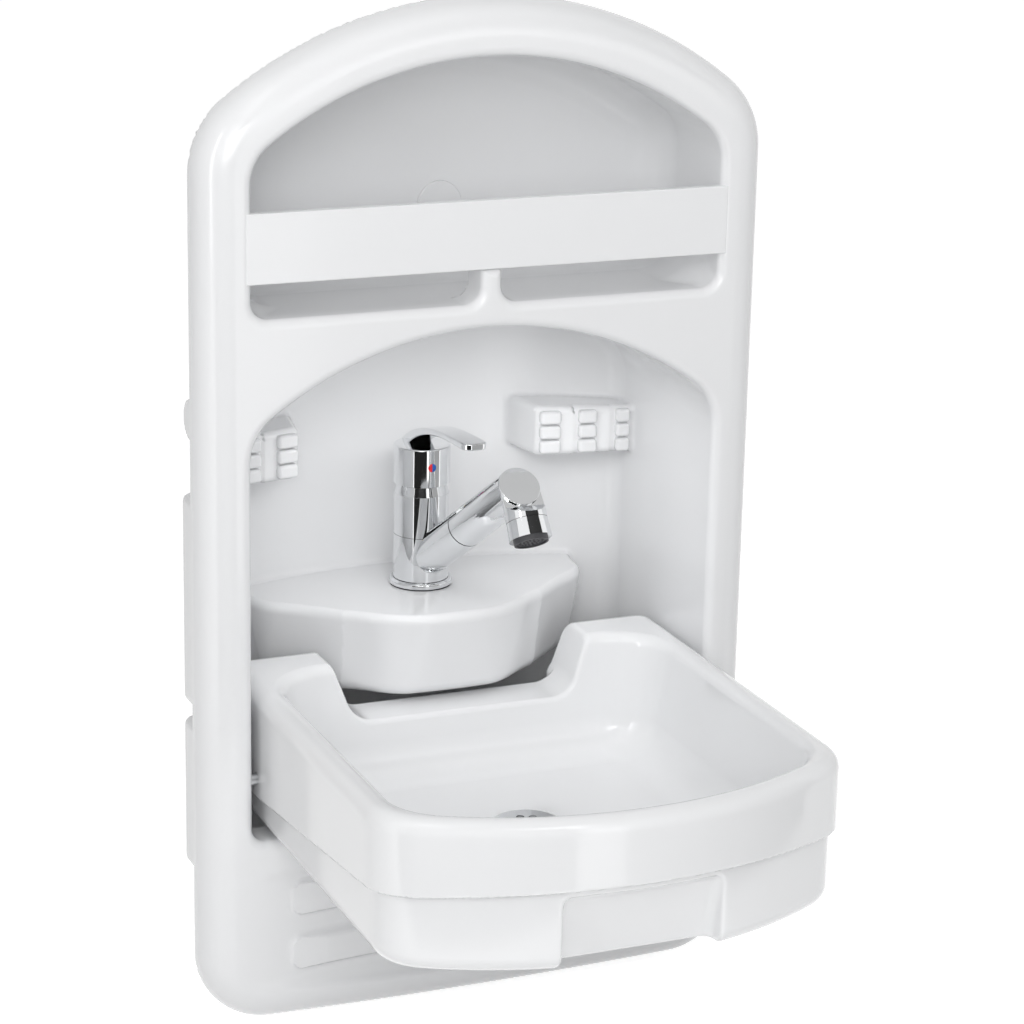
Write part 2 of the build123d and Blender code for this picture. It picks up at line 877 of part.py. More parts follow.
finish(basin_bowl, "basin_bowl")


def sole_band(inset, top_line):
    """Side view of the lower shell set in by this much: a level sole and a round heel."""
    reach = sole_radius - inset
    heel = top_line[-1]
    half_turn = math.atan2(heel[0] - pivot_y, pivot_z - heel[1]) / 2
    middle = (pivot_y + reach * math.sin(half_turn), pivot_z - reach * math.cos(half_turn))
    sole_start = (pivot_y, pivot_z - reach)
    with BuildSketch(Plane.YZ) as outline:
        with BuildLine():
            Polyline(sole_start, (front_end, pivot_z - reach), *top_line)
            ThreePointArc(heel, middle, sole_start)
        make_face()
    return extrude(outline.sketch, amount=basin_half_width, both=True, mode=Mode.PRIVATE)


def grip_block(grow):
    """Space of the finger grip below the skirt, grown by this much; its back leans forward."""
    head_z = grip_head_z + grow
    lean = (grip_foot_depth - grip_head_depth) / (grip_head_z - under_z)
    head_y = behind(grip_head_depth) + grow * (1 - lean)
    foot_z = under_z - under_edge_radius
    foot_y = behind(grip_foot_depth) + grow + lean * under_edge_radius
    with BuildPart() as space:
        with BuildSketch(Plane.YZ):
            with BuildLine():
                Polyline(
                    (front_end, foot_z),
                    (foot_y, foot_z),
                    (head_y, head_z),
                    (front_end, head_z),
                    close=True,
                )
            make_face()
        extrude(amount=grip_half_width + grow, both=True)
        upright = space.faces().sort_by(Axis.Y)[-1].edges().filter_by(Axis.X, reverse=True)
        fillet(upright, grip_corner_radius + grow)
    return space.part


def under_block(inset):
    """Plan of the lower shell set in by this much, with its rounded lower edge."""
    with BuildPart() as block:
        add(basin_block(step_inset + inset, basin_rim_z, under_z + inset))
        fillet(block.faces().sort_by(Axis.Z)[0].edges(), under_edge_radius - inset)
    return block.part


tab_head_z = back_joint_z - back_joint_gap
shell_top_line = (
    (front_end, step_height(front_depth) + under_overlap),
    (tab_front_y, step_height(basin_back_depth - back_joint_depth) + under_overlap),
    (tab_front_y, tab_head_z),
    (pivot_y + sole_radius, tab_head_z),
    (pivot_y + sole_radius, pivot_z),
)
hollow_back_y = tab_front_y - under_wall
hollow_heel_z = pivot_z - math.sqrt((sole_radius - under_wall) ** 2 - (hollow_back_y - pivot_y) ** 2)
hollow_top_line = (
    (front_end, basin_rim_z),
    (hollow_back_y, basin_rim_z),
    (hollow_back_y, hollow_heel_z),
)

duct_top = bowl_floor_z - basin_wall
duct_foot = duct_top - waste_duct_height

with BuildPart() as duct_outside:
    with Locations((0, behind(waste_depth), duct_top)):
        Cylinder(
            waste_body_radius,
            waste_duct_height,
            align=(Align.CENTER, Align.CENTER, Align.MAX),
        )
        Box(
            waste_duct_width,
            pivot_y + sole_radius - behind(waste_depth),
            waste_duct_height,
            align=(Align.CENTER, Align.MIN, Align.MAX),
        )
    with BuildSketch(side_axis_plane(0, pivot_depth, pivot_z)):
        Circle(sole_radius - back_joint_gap)
        with Locations((-basin_reach, 0)):
            Rectangle(2 * basin_reach, 2 * basin_rim_z)
    extrude(amount=waste_duct_width, both=True, mode=Mode.INTERSECT)

with BuildPart() as basin_under_shell:
    add(sole_band(0, shell_top_line) & under_block(0))
    hollow = sole_band(under_wall, hollow_top_line) & under_block(under_wall)
    add(hollow - grip_block(under_wall), mode=Mode.SUBTRACT)
    add(grip_block(0), mode=Mode.SUBTRACT)
    for side in (1, -1):
        with BuildSketch(side_axis_plane(side * basin_half_width, pivot_depth, pivot_z)):
            Circle(pivot_boss_radius + back_joint_gap)
        boss_length = pivot_boss_length + basin_wall + overshoot
        extrude(amount=-side * boss_length, mode=Mode.SUBTRACT)
    add(duct_outside.part, mode=Mode.SUBTRACT)
finish(basin_under_shell, "basin_under_shell")

# Pivots: pins fixed in the basin, turning in flanged bushes in the surround

pin_head_x = basin_half_width - basin_wall - pivot_boss_length
pin_tip_x = lower_half_width + return_wall + bush_flange_thickness + pin_tip_reach
with BuildPart() as pivot_pins:
    for side in (1, -1):
        with BuildSketch(side_axis_plane(side * pin_head_x, pivot_depth, pivot_z)):
            Circle(pivot_pin_radius)
        extrude(amount=side * (pin_tip_x - pin_head_x))
    chamfer(pivot_pins.edges().filter_by(GeomType.CIRCLE), pin_chamfer)
finish(pivot_pins, "pivot_pins")

with BuildPart() as pivot_bushes:
    for side in (1, -1):
        with BuildSketch(side_axis_plane(side * lower_half_width, pivot_depth, pivot_z)):
            Circle(bush_radius)
            Circle(pivot_pin_radius + running_clearance, mode=Mode.SUBTRACT)
        extrude(amount=side * return_wall)
        with BuildSketch(side_axis_plane(side * (lower_half_width + return_wall), pivot_depth, pivot_z)):
            Circle(bush_flange_radius)
            Circle(pivot_pin_radius + running_clearance, mode=Mode.SUBTRACT)
        extrude(amount=side * bush_flange_thickness)
finish(pivot_bushes, "pivot_bushes")

# Stops: pegs on the ears of the basin come up under blocks on the sides of the recess

recess_splay = (recess_half_width - recess_rear_half_width) / (behind(recess_side_depth) - front_y)


def recess_side_x(depth):
    """Half width of the recess at this depth."""
    return recess_half_width - depth * recess_splay


peg_tip_x = recess_side_x(stop_depth) - stop_side_gap
with BuildPart() as stop_pegs:
    for side in (1, -1):
        peg_root_x = basin_half_width - basin_wall
        with BuildSketch(side_axis_plane(side * peg_root_x, stop_depth, stop_peg_z)):
            Circle(stop_peg_radius)
        extrude(amount=side * (peg_tip_x - peg_root_x))
finish(stop_pegs, "stop_pegs")

block_foot_z = stop_peg_z + stop_peg_radius + stop_gap
block_inner_x = basin_half_width + stop_gap
with BuildPart() as stop_blocks:
    with Locations((block_inner_x, behind(stop_depth), block_foot_z)):
        Box(
            recess_half_width - block_inner_x,
            stop_block_width,
            stop_block_height,
            align=(Align.MIN, Align.CENTER, Align.MIN),
        )
    add(recess_volume(0), mode=Mode.INTERSECT)
    mirror(about=Plane.YZ)
finish(stop_blocks, "stop_blocks")

# Catch: magnets in the surround meet steel keepers in the skirt when the basin is up

with BuildPart() as catch_magnets:
    for side in (1, -1):
        with BuildSketch(side_axis_plane(side * magnet_face_x, catch_depth, catch_z)):
            Circle(magnet_radius)
        extrude(amount=side * magnet_length)
finish(catch_magnets, "catch_magnets")

with BuildPart() as catch_keepers:
    for side in (1, -1):
        with BuildSketch(side_axis_plane(side * (basin_half_width - basin_wall), keeper_depth, keeper_z)):
            Circle(keeper_radius)
        extrude(amount=-side * keeper_thickness)
finish(catch_keepers, "catch_keepers")

# Waste: a slotted strainer over a flat duct that empties into the sump behind the basin

with BuildPart() as waste_strainer:
    with Locations((0, behind(waste_depth), bowl_floor_z)):
        Cylinder(
            waste_flange_radius - back_joint_gap,
            waste_flange_thickness,
            align=(Align.CENTER, Align.CENTER, Align.MAX),
        )
        Cylinder(
            waste_hole_radius - back_joint_gap,
            basin_wall,
            align=(Align.CENTER, Align.CENTER, Align.MAX),
        )
        Hole(screw_radius + running_clearance, depth=basin_wall + overshoot)
    with BuildSketch(Plane.XY.offset(bowl_floor_z)):
        with Locations((0, behind(waste_depth))):
            with PolarLocations(waste_slot_circle, waste_slot_count):
                Circle(waste_slot_radius)
    extrude(amount=-basin_wall - overshoot, mode=Mode.SUBTRACT)
finish(waste_strainer, "waste_strainer")

with BuildPart() as waste_duct:
    add(duct_outside.part)
    duct_inner_top = duct_top - waste_duct_wall
    duct_inner_height = waste_duct_height - 2 * waste_duct_wall
    with Locations((0, behind(waste_depth), duct_inner_top)):
        Cylinder(
            waste_body_radius - waste_duct_wall,
            duct_inner_height,
            align=(Align.CENTER, Align.CENTER, Align.MAX),
            mode=Mode.SUBTRACT,
        )
        Box(
            waste_duct_width - 2 * waste_duct_wall,
            pivot_y + sole_radius - behind(waste_depth),
            duct_inner_height,
            align=(Align.CENTER, Align.MIN, Align.MAX),
            mode=Mode.SUBTRACT,
        )
    with Locations((0, behind(waste_depth), duct_top)):
        Cylinder(waste_inlet_radius, 2 * waste_duct_wall, mode=Mode.SUBTRACT)
        Cylinder(
            screw_boss_radius,
            waste_duct_height,
            align=(Align.CENTER, Align.CENTER, Align.MAX),
        )
        Hole(screw_radius, depth=waste_duct_height + overshoot)
finish(waste_duct, "waste_duct")

with BuildPart() as waste_screw:
    with Locations((0, behind(waste_depth), bowl_floor_z)):
        Cylinder(screw_head_radius, screw_head_height, align=(Align.CENTER, Align.CENTER, Align.MIN))
        Cylinder(
            screw_radius,
            basin_wall + waste_duct_height,
            align=(Align.CENTER, Align.CENTER, Align.MAX),
        )
    fillet(waste_screw.faces().sort_by(Axis.Z)[-1].edges(), screw_head_edge_radius)
finish(waste_screw, "waste_screw")

# Sump outlet: a flanged spigot through the floor of the recess, with its seal and nut

outlet_y = behind(sump_outlet_depth)
sump_under_z = sump_floor_z - recess_wall
with BuildPart() as sump_outlet:
    with Locations((0, outlet_y, sump_floor_z)):
        Cylinder(
            sump_outlet_flange_radius,
            sump_outlet_flange_thickness,
            align=(Align.CENTER, Align.CENTER, Align.MIN),
        )
        Cylinder(
            sump_thread_radius,
            sump_floor_z - sump_thread_foot_z,
            align=(Align.CENTER, Align.CENTER, Align.MAX),
        )
    with Locations((0, outlet_y, sump_thread_foot_z)):
        Cylinder(
            sump_outlet_radius,
            sump_thread_foot_z - sump_under_z + sump_outlet_length,
            align=(Align.CENTER, Align.CENTER, Align.MAX),
        )
    with Locations((0, outlet_y, sump_floor_z)):
        Cylinder(sump_outlet_bore, 2 * (recess_wall + sump_outlet_length), mode=Mode.SUBTRACT)
    chamfer(sump_outlet.faces().sort_by(Axis.Z)[-1].edges(), pin_chamfer)
finish(sump_outlet, "sump_outlet")

with BuildPart() as sump_seal:
    with BuildSketch(Plane.XY.offset(sump_under_z - sump_seal_height)):
        with Locations((0, outlet_y)):
            Circle(sump_seal_radius)
            Circle(sump_thread_radius, mode=Mode.SUBTRACT)
    extrude(amount=sump_seal_height)
finish(sump_seal, "sump_seal")

with BuildPart() as sump_nut:
    with BuildSketch(Plane.XY.offset(sump_under_z - sump_seal_height - sump_nut_height)):
        with Locations((0, outlet_y)):
            RegularPolygon(sump_nut_radius, nut_sides)
            Circle(sump_thread_radius, mode=Mode.SUBTRACT)
    extrude(amount=sump_nut_height)
finish(sump_nut, "sump_nut")

# Tap: a fixed core and upper body, a swivelling lower body with the spout, and a lever on top

tap_axis = Plane(origin=(0, tap_y, 0))
gasket_head_z = ledge_z + tap_gasket_height
base_head_z = gasket_head_z + tap_base_height
swivel_foot_z = base_head_z + tap_gap
swivel_head_z = tap_joint_z - tap_gap
shank_foot_z = ledge_z - shank_length


def round_bar(axis, radius, start, end, bore=0.0, mode=Mode.ADD):
    """Bar or tube on the axis of a plane between two distances along it."""
    with BuildSketch(axis.offset(start)) as section:
        Circle(radius)
        if bore:
            Circle(bore, mode=Mode.SUBTRACT)
    extrude(section.sketch, amount=end - start, mode=mode)


with BuildPart() as tap_gasket:
    round_bar(tap_axis, tap_gasket_radius, ledge_z, gasket_head_z, bore=shank_radius + running_clearance)
finish(tap_gasket, "tap_gasket")

with BuildPart() as tap_base_ring:
    round_bar(
        tap_axis, tap_base_radius, gasket_head_z, base_head_z, bore=shank_radius + running_clearance
    )
    top_rim = tap_base_ring.faces().sort_by(Axis.Z)[-1].edges().sort_by(SortBy.LENGTH)[-1]
    fillet(top_rim, tap_base_edge_radius)
finish(tap_base_ring, "tap_base_ring")

with BuildPart() as tap_core:
    round_bar(tap_axis, shank_radius, shank_foot_z, base_head_z)
    round_bar(tap_axis, tap_core_radius, base_head_z, tap_core_head_z)
    for groove_z in oring_groove_z:
        round_bar(
            tap_axis,
            tap_core_radius,
            groove_z,
            groove_z + oring_groove_height,
            bore=oring_groove_radius,
            mode=Mode.SUBTRACT,
        )
    round_bar(
        tap_axis,
        tap_core_radius,
        water_groove_z,
        water_groove_z + water_groove_height,
        bore=oring_groove_radius,
        mode=Mode.SUBTRACT,
    )
    water_mid_z = water_groove_z + water_groove_height / 2
    round_bar(tap_axis, waterway_radius, water_mid_z, tap_core_head_z, mode=Mode.SUBTRACT)
    with BuildSketch(facing_room(tap_y)):
        with Locations((0, water_mid_z)):
            Circle(waterway_radius)
    extrude(amount=tap_core_radius, mode=Mode.SUBTRACT)
    for side in (1, -1):
        inlet_axis = Plane(origin=(side * supply_tail_offset, tap_y, 0))
        round_bar(
            inlet_axis,
            supply_tail_radius + running_clearance,
            shank_foot_z,
            shank_foot_z + supply_tail_grip,
            mode=Mode.SUBTRACT,
        )
        round_bar(inlet_axis, waterway_radius, shank_foot_z, tap_core_head_z, mode=Mode.SUBTRACT)
finish(tap_core, "tap_core")

with BuildPart() as swivel_orings:
    for groove_z in oring_groove_z:
        with Locations((0, tap_y, groove_z + oring_groove_height / 2)):
            Torus(oring_groove_radius + oring_section_radius + running_clearance, oring_section_radius)
finish(swivel_orings, "swivel_orings")

spout_root = Vector(0, tap_y, spout_root_z)
spout_head = Vector(spout_head_x, behind(spout_head_depth), spout_head_z)
spout_length = (spout_head - spout_root).length
spout_axis = Plane(origin=spout_root, x_dir=(1, 0, 0), z_dir=spout_head - spout_root)
branch_end = spout_joint - hand_seal_thickness / 2
hand_start = spout_joint + hand_seal_thickness / 2

with BuildPart() as tap_swivel_body:
    round_bar(spout_axis, spout_radius, 0, branch_end)
    round_bar(tap_axis, tap_body_radius + tap_gap, swivel_head_z, cap_head_z, mode=Mode.SUBTRACT)
    round_bar(tap_axis, tap_base_radius, ledge_z, swivel_foot_z, mode=Mode.SUBTRACT)
    round_bar(tap_axis, tap_body_radius, swivel_foot_z, swivel_head_z)
    round_bar(
        tap_axis, tap_core_radius + running_clearance, ledge_z, tap_joint_z, mode=Mode.SUBTRACT
    )
    round_bar(
        spout_axis,
        hand_spigot_radius + running_clearance,
        branch_end - spout_sleeve_length,
        branch_end,
        mode=Mode.SUBTRACT,
    )
    round_bar(spout_axis, hand_bore, 0, branch_end, mode=Mode.SUBTRACT)
finish(tap_swivel_body, "tap_swivel_body")

with BuildPart() as tap_upper_body:
    round_bar(
        tap_axis, tap_body_radius, tap_joint_z, tap_upper_z, bore=tap_core_radius + running_clearance
    )
finish(tap_upper_body, "tap_upper_body")

with BuildPart() as tap_collar:
    with BuildSketch(tap_axis.offset(tap_upper_z)):
        Circle(collar_foot_radius)
    with BuildSketch(tap_axis.offset(collar_head_z)):
        Circle(collar_head_radius)
    loft()
    round_bar(tap_axis, rotor_radius + tap_gap, tap_upper_z, collar_head_z, mode=Mode.SUBTRACT)
finish(tap_collar, "tap_collar")

with BuildPart() as cartridge_housing:
    round_bar(tap_axis, cartridge_radius, tap_core_head_z, tap_upper_z)
    round_bar(
        tap_axis, rotor_radius + rotor_clearance, cartridge_seat_z, tap_upper_z, mode=Mode.SUBTRACT
    )
    for side in (1, 0, -1):
        port_axis = Plane(origin=(side * supply_tail_offset, tap_y, 0))
        round_bar(port_axis, waterway_radius, tap_core_head_z, tap_upper_z, mode=Mode.SUBTRACT)
finish(cartridge_housing, "cartridge_housing")

with BuildPart() as cartridge_rotor:
    round_bar(tap_axis, rotor_radius, cartridge_seat_z + tap_gap, rotor_head_z)
    with Locations((0, tap_y - stem_slot_front, stem_pivot_z - stem_slot_front)):
        Box(
            2 * stem_slot_half_width,
            stem_slot_front + stem_slot_rear,
            2 * rotor_radius,
            align=(Align.CENTER, Align.MIN, Align.MIN),
            mode=Mode.SUBTRACT,
        )
    with BuildSketch(side_axis_plane(0, tap_depth, stem_pivot_z)):
        Circle(stem_pin_radius)
    extrude(amount=stem_pin_half_length, both=True, mode=Mode.SUBTRACT)
finish(cartridge_rotor, "cartridge_rotor")

with BuildPart() as stem_pin:
    with BuildSketch(side_axis_plane(0, tap_depth, stem_pivot_z)):
        Circle(stem_pin_radius)
    extrude(amount=stem_pin_half_length, both=True)
finish(stem_pin, "stem_pin")

with BuildPart() as lever_stem:
    with BuildSketch(side_axis_plane(0, tap_depth, stem_pivot_z)):
        Circle(stem_radius)
    extrude(amount=stem_radius, both=True)
    round_bar(tap_axis, stem_radius, stem_pivot_z, stem_head_z)
    with BuildSketch(side_axis_plane(0, tap_depth, stem_pivot_z)):
        Circle(stem_pin_radius + running_clearance)
    extrude(amount=stem_radius + overshoot, both=True, mode=Mode.SUBTRACT)
finish(lever_stem, "lever_stem")

with BuildPart() as dot_space:
    with BuildSketch(facing_room(tap_y - cap_radius + dot_sink)):
        with Locations((0, dot_z)):
            Circle(dot_radius)
    extrude(amount=2 * dot_sink)

cap_roof_z = cap_head_z - cap_roof
with BuildPart() as lever_cap:
    round_bar(tap_axis, cap_radius, cap_foot_z, cap_head_z)
    fillet(lever_cap.faces().sort_by(Axis.Z)[-1].edges(), cap_edge_radius)
    round_bar(tap_axis, cap_radius - cap_wall, cap_foot_z, cap_roof_z, mode=Mode.SUBTRACT)
    round_bar(tap_axis, cap_boss_radius, cap_roof_z - cap_boss_height, cap_roof_z)
    round_bar(
        tap_axis, stem_radius + running_clearance, cap_foot_z, stem_head_z, mode=Mode.SUBTRACT
    )
    add(dot_space.part, mode=Mode.SUBTRACT)
finish(lever_cap, "lever_cap")

with BuildPart() as lever_blade:
    with BuildSketch(Plane.YZ):
        with BuildLine():
            upper = Spline([(behind(depth), height) for depth, height in blade_top])
            lower = Spline([(behind(depth), height) for depth, height in blade_under])
            Line(upper @ 1, lower @ 0)
            Line(lower @ 1, upper @ 0)
        make_face()
    extrude(amount=blade_half_width, both=True)
    tip = lever_blade.faces().sort_by(Axis.Y)[0]
    fillet(tip.edges().filter_by(Axis.Z), blade_tip_radius)
    along = lever_blade.edges().filter_by(lambda edge: edge.length > blade_long_edge)
    fillet(along, blade_edge_radius)
finish(lever_blade, "lever_blade")

for side, colour in ((-1, "red"), (1, "blue")):
    with BuildPart() as indicator:
        add(dot_space.part)
        round_bar(tap_axis, cap_radius, cap_foot_z, cap_head_z, mode=Mode.INTERSECT)
        with Locations((side * dot_split / 2, tap_y, dot_z)):
            Box(
                cap_radius,
                2 * cap_radius,
                2 * cap_radius,
                align=(Align.MIN if side < 0 else Align.MAX, Align.CENTER, Align.CENTER),
                mode=Mode.SUBTRACT,
            )
    finish(indicator, f"indicator_{colour}")

# Hand piece of the spout: it sits in a sleeve of the branch and carries the nozzle

out_of_wall = Vector(0, -1, 0)
end_normal = out_of_wall.rotate(Axis.X, -end_face_rise)
end_axis = Plane(origin=spout_head, x_dir=(1, 0, 0), z_dir=end_normal)
down_the_face = end_normal.cross(Vector(-1, 0, 0))
end_section = Plane(origin=spout_head, x_dir=down_the_face, z_dir=(-1, 0, 0))
nozzle_axis = Plane(
    origin=spout_head,
    x_dir=(1, 0, 0),
    z_dir=out_of_wall.rotate(Axis.X, nozzle_fall),
)


def end_space(grow):
    """Space in front of the end face, grown by this much; below the face its edge leans out."""
    lean = math.radians(end_valley_angle)
    foot = -end_cap_thickness - grow
    bend = end_cap_radius + end_valley_gap + grow * math.tan(lean / 2)
    head = foot + end_cut_reach * math.sin(lean)
    with BuildSketch(end_section) as section:
        with BuildLine():
            Polyline(
                (-end_cut_reach, foot),
                (bend, foot),
                (bend + end_cut_reach * math.cos(lean), head),
                (-end_cut_reach, head),
                close=True,
            )
        make_face()
    return extrude(section.sketch, amount=end_cut_reach, both=True, mode=Mode.PRIVATE)

with BuildPart() as hand_seal:
    round_bar(
        spout_axis, hand_seal_radius, branch_end, hand_start, bore=hand_spigot_radius + running_clearance
    )
finish(hand_seal, "hand_seal")

with BuildPart() as hand_hollow:
    round_bar(spout_axis, spout_radius - nozzle_wall, hand_hollow_start, spout_length)
    round_bar(nozzle_axis, nozzle_radius - nozzle_wall, 0, nozzle_joint + overshoot)
    add(end_space(nozzle_wall), mode=Mode.SUBTRACT)

with BuildPart() as hand_piece:
    round_bar(spout_axis, spout_radius, hand_start, spout_length + spout_radius)
    round_bar(nozzle_axis, nozzle_radius, 0, nozzle_joint)
    add(end_space(0), mode=Mode.SUBTRACT)
    add(hand_hollow.part, mode=Mode.SUBTRACT)
    spigot_end = hand_start - hand_spigot_length
    round_bar(spout_axis, hand_spigot_radius, spigot_end, hand_start)
    round_bar(spout_axis, hand_bore, spigot_end, hand_bore_end, mode=Mode.SUBTRACT)
finish(hand_piece, "hand_piece")

with BuildPart() as end_cap:
    round_bar(end_axis, end_cap_radius, -end_cap_thickness, 0)
    fillet(end_cap.faces().sort_by(Axis.Z)[-1].edges(), end_cap_edge_radius)
finish(end_cap, "end_cap")

with BuildPart() as nozzle_ring:
    with BuildSketch(nozzle_axis.offset(nozzle_joint + nozzle_joint_gap)):
        Circle(nozzle_radius)
    with BuildSketch(nozzle_axis.offset(nozzle_mouth)):
        Circle(nozzle_mouth_radius)
    loft()
    round_bar(nozzle_axis, nozzle_radius - nozzle_wall, nozzle_joint, nozzle_mouth, mode=Mode.SUBTRACT)
finish(nozzle_ring, "nozzle_ring")

with BuildPart() as aerator:
    round_bar(nozzle_axis, aerator_radius, aerator_face - aerator_grip, aerator_face)
    round_bar(
        nozzle_axis,
        aerator_radius - aerator_wall,
        aerator_face - aerator_recess,
        aerator_face,
        mode=Mode.SUBTRACT,
    )
    with BuildSketch(nozzle_axis.offset(aerator_face)):
        for ring in range(1, aerator_hole_rings + 1):
            with PolarLocations(ring * aerator_hole_pitch, ring * aerator_ring_holes):
                Circle(aerator_hole_radius)
    extrude(amount=-aerator_grip, mode=Mode.SUBTRACT)
finish(aerator, "aerator")

# Fixing of the tap below the ledge, and the ends of its two supply pipes

seal_head_z = ledge_z - ledge_wall
washer_head_z = seal_head_z - shank_seal_height
nut_head_z = washer_head_z - shank_washer_height

with BuildPart() as shank_seal:
    round_bar(
        tap_axis, shank_washer_radius, washer_head_z, seal_head_z, bore=shank_radius + running_clearance
    )
finish(shank_seal, "shank_seal")

with BuildPart() as shank_washer:
    round_bar(
        tap_axis, shank_washer_radius, nut_head_z, washer_head_z, bore=shank_radius + running_clearance
    )
finish(shank_washer, "shank_washer")

with BuildPart() as shank_nut:
    with BuildSketch(tap_axis.offset(nut_head_z - shank_nut_height)):
        RegularPolygon(shank_nut_width / 2, nut_sides, major_radius=False)
        Circle(shank_radius + running_clearance, mode=Mode.SUBTRACT)
    extrude(amount=shank_nut_height)
finish(shank_nut, "shank_nut")

bend_head_z = shank_foot_z - supply_tail_drop
tail_z = bend_head_z - supply_tail_bend
quarter = supply_tail_bend * math.sin(math.radians(45))
with BuildPart() as supply_tails:
    for side in (1, -1):
        tail_x = side * supply_tail_offset
        top = (tail_x, tap_y, shank_foot_z + supply_tail_grip)
        bend_start = (tail_x, tap_y, bend_head_z)
        bend_middle = (tail_x, tap_y + supply_tail_bend - quarter, bend_head_z - quarter)
        bend_end = (tail_x, tap_y + supply_tail_bend, tail_z)
        with BuildLine() as tail_path:
            Line(top, bend_start)
            ThreePointArc(bend_start, bend_middle, bend_end)
            Line(bend_end, (tail_x, behind(supply_tail_end_depth), tail_z))
        with BuildSketch(Plane(origin=top, x_dir=(1, 0, 0), z_dir=(0, 0, -1))):
            Circle(supply_tail_radius)
            Circle(supply_tail_bore, mode=Mode.SUBTRACT)
        sweep(path=tail_path.line)
finish(supply_tails, "supply_tails")
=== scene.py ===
"""Tip-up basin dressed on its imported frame: white mouldings, chrome tap, studio light and camera."""
import json
import math

import bpy
import numpy as np
from mathutils import Matrix, Vector


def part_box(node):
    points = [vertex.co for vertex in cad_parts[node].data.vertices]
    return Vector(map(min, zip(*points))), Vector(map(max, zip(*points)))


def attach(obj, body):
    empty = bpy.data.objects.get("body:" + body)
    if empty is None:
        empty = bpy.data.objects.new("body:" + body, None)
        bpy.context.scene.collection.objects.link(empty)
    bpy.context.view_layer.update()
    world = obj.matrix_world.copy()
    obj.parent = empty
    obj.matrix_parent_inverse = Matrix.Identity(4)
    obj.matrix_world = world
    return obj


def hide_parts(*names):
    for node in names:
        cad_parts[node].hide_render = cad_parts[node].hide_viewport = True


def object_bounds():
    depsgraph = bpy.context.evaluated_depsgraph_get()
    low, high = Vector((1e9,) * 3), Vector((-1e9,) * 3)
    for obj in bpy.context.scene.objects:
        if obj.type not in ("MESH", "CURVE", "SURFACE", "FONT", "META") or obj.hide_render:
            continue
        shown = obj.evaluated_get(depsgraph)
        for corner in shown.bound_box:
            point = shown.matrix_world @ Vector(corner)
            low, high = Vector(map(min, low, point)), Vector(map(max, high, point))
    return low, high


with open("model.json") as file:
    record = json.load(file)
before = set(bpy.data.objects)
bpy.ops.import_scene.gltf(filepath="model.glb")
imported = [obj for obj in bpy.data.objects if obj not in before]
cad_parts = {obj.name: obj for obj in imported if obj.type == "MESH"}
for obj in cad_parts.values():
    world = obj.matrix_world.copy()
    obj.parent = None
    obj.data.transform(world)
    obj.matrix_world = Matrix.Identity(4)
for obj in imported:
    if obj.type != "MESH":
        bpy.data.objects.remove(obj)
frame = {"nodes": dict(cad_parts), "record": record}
cad_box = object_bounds()

# Metres in one millimetre; the shapes below are described in millimetres.
MM = 0.001

# Camera
CAMERA_PLACE = (-764.1, -1867.1, 953.1)
CAMERA_YAW = math.radians(23.0)
CAMERA_PITCH = math.radians(16.71)
CAMERA_ROLL = math.radians(1.2)
CAMERA_LENS = 109.05
CAMERA_SENSOR = 36.0
CAMERA_REACH = 50.0

# Surround
FRONT_Y = -28.0
SURROUND_HALF_WIDTH = 200.0
SURROUND_FOOT = 4.0
SURROUND_CROWN = 697.0
SURROUND_ARCH = 290.0
SURROUND_SHOULDER = 60.0
SURROUND_CORNER = 48.0
SURROUND_SAG = 4.0
NOSE_RADIUS = 24.0
SKIN = 4.0
RETURN_WALL = 7.0
LIP_RADIUS = 6.0
INNER_EDGE = 1.0

# Upper opening
UPPER_HALF_WIDTH = 165.5
UPPER_FOOT = 497.0
UPPER_CROWN = 660.0
OPENING_ARCH = 255.0
UPPER_SHOULDER = 32.0
UPPER_CORNER = 12.0
PAN_CORNER = 29.0
PAN_CORNER_GROWTH = (-20.0, 12.0)
PAN_BACK_Y = 72.0
PAN_EDGE = 28.0
PAN_WALL = 4.0
REST_HALF_WIDTH = 7.3
REST_TOP = 521.0
REST_FILLET = 12.0

# Lower opening, recess and sump
LOWER_HALF_WIDTH = 166.3
LOWER_FOOT = 137.5
LOWER_CROWN = 481.0
LOWER_SHOULDER = 38.0
LOWER_CORNER = 10.0
RECESS_REAR_HALF_WIDTH = 160.0
RECESS_CORNER_Y = 116.0
RECESS_BACK_Y = 152.0
RECESS_WALL = 4.0
RECESS_BACK_EDGE = 9.0
SUMP_FLOOR = 75.0
SUMP_FRONT_Y = 4.0
SUMP_EDGE = 9.0
SILL_EDGE = 3.5
FLANGE_GROWTH = 6.0
FLANGE_THICKNESS = 3.0
FLANGE_OVERLAP = 2.0

# Apron
APRON_HALF_WIDTH = 152.0
APRON_DEPTH = 12.0
APRON_FOOT = 24.0
APRON_HEAD = 120.0
APRON_BLEND = 14.0
APRON_EDGE = 3.0
RIB_HALF_LENGTH = 138.0
RIB_FOOT = 42.0
RIB_HEIGHT = 23.0
RIB_PITCH = 40.0
RIB_RISE = 5.0
RIB_CORNER = 7.0
RIB_EDGE = 3.5
RIB_SINK = 0.3

# Tap ledge, as seen from above
LEDGE_TOP = 267.0
LEDGE_HEIGHT = 62.0
LEDGE_TAPER = math.radians(11.0)
LEDGE_WING = (128.0, 92.0)
LEDGE_NECK = (74.0, 56.0)
LEDGE_NOSE = (52.0, 24.0)
LEDGE_FRONT_Y = 21.0
LEDGE_NOSE_RADIUS = 28.0
LEDGE_WING_RADIUS = 14.0
LEDGE_TOP_EDGE = 7.0
LEDGE_NECK_BLEND = 14.0
LEDGE_SOLE_EDGE = 9.0
LEDGE_SKIN = 6.0
LEDGE_FOOT_FILLET = 4.0

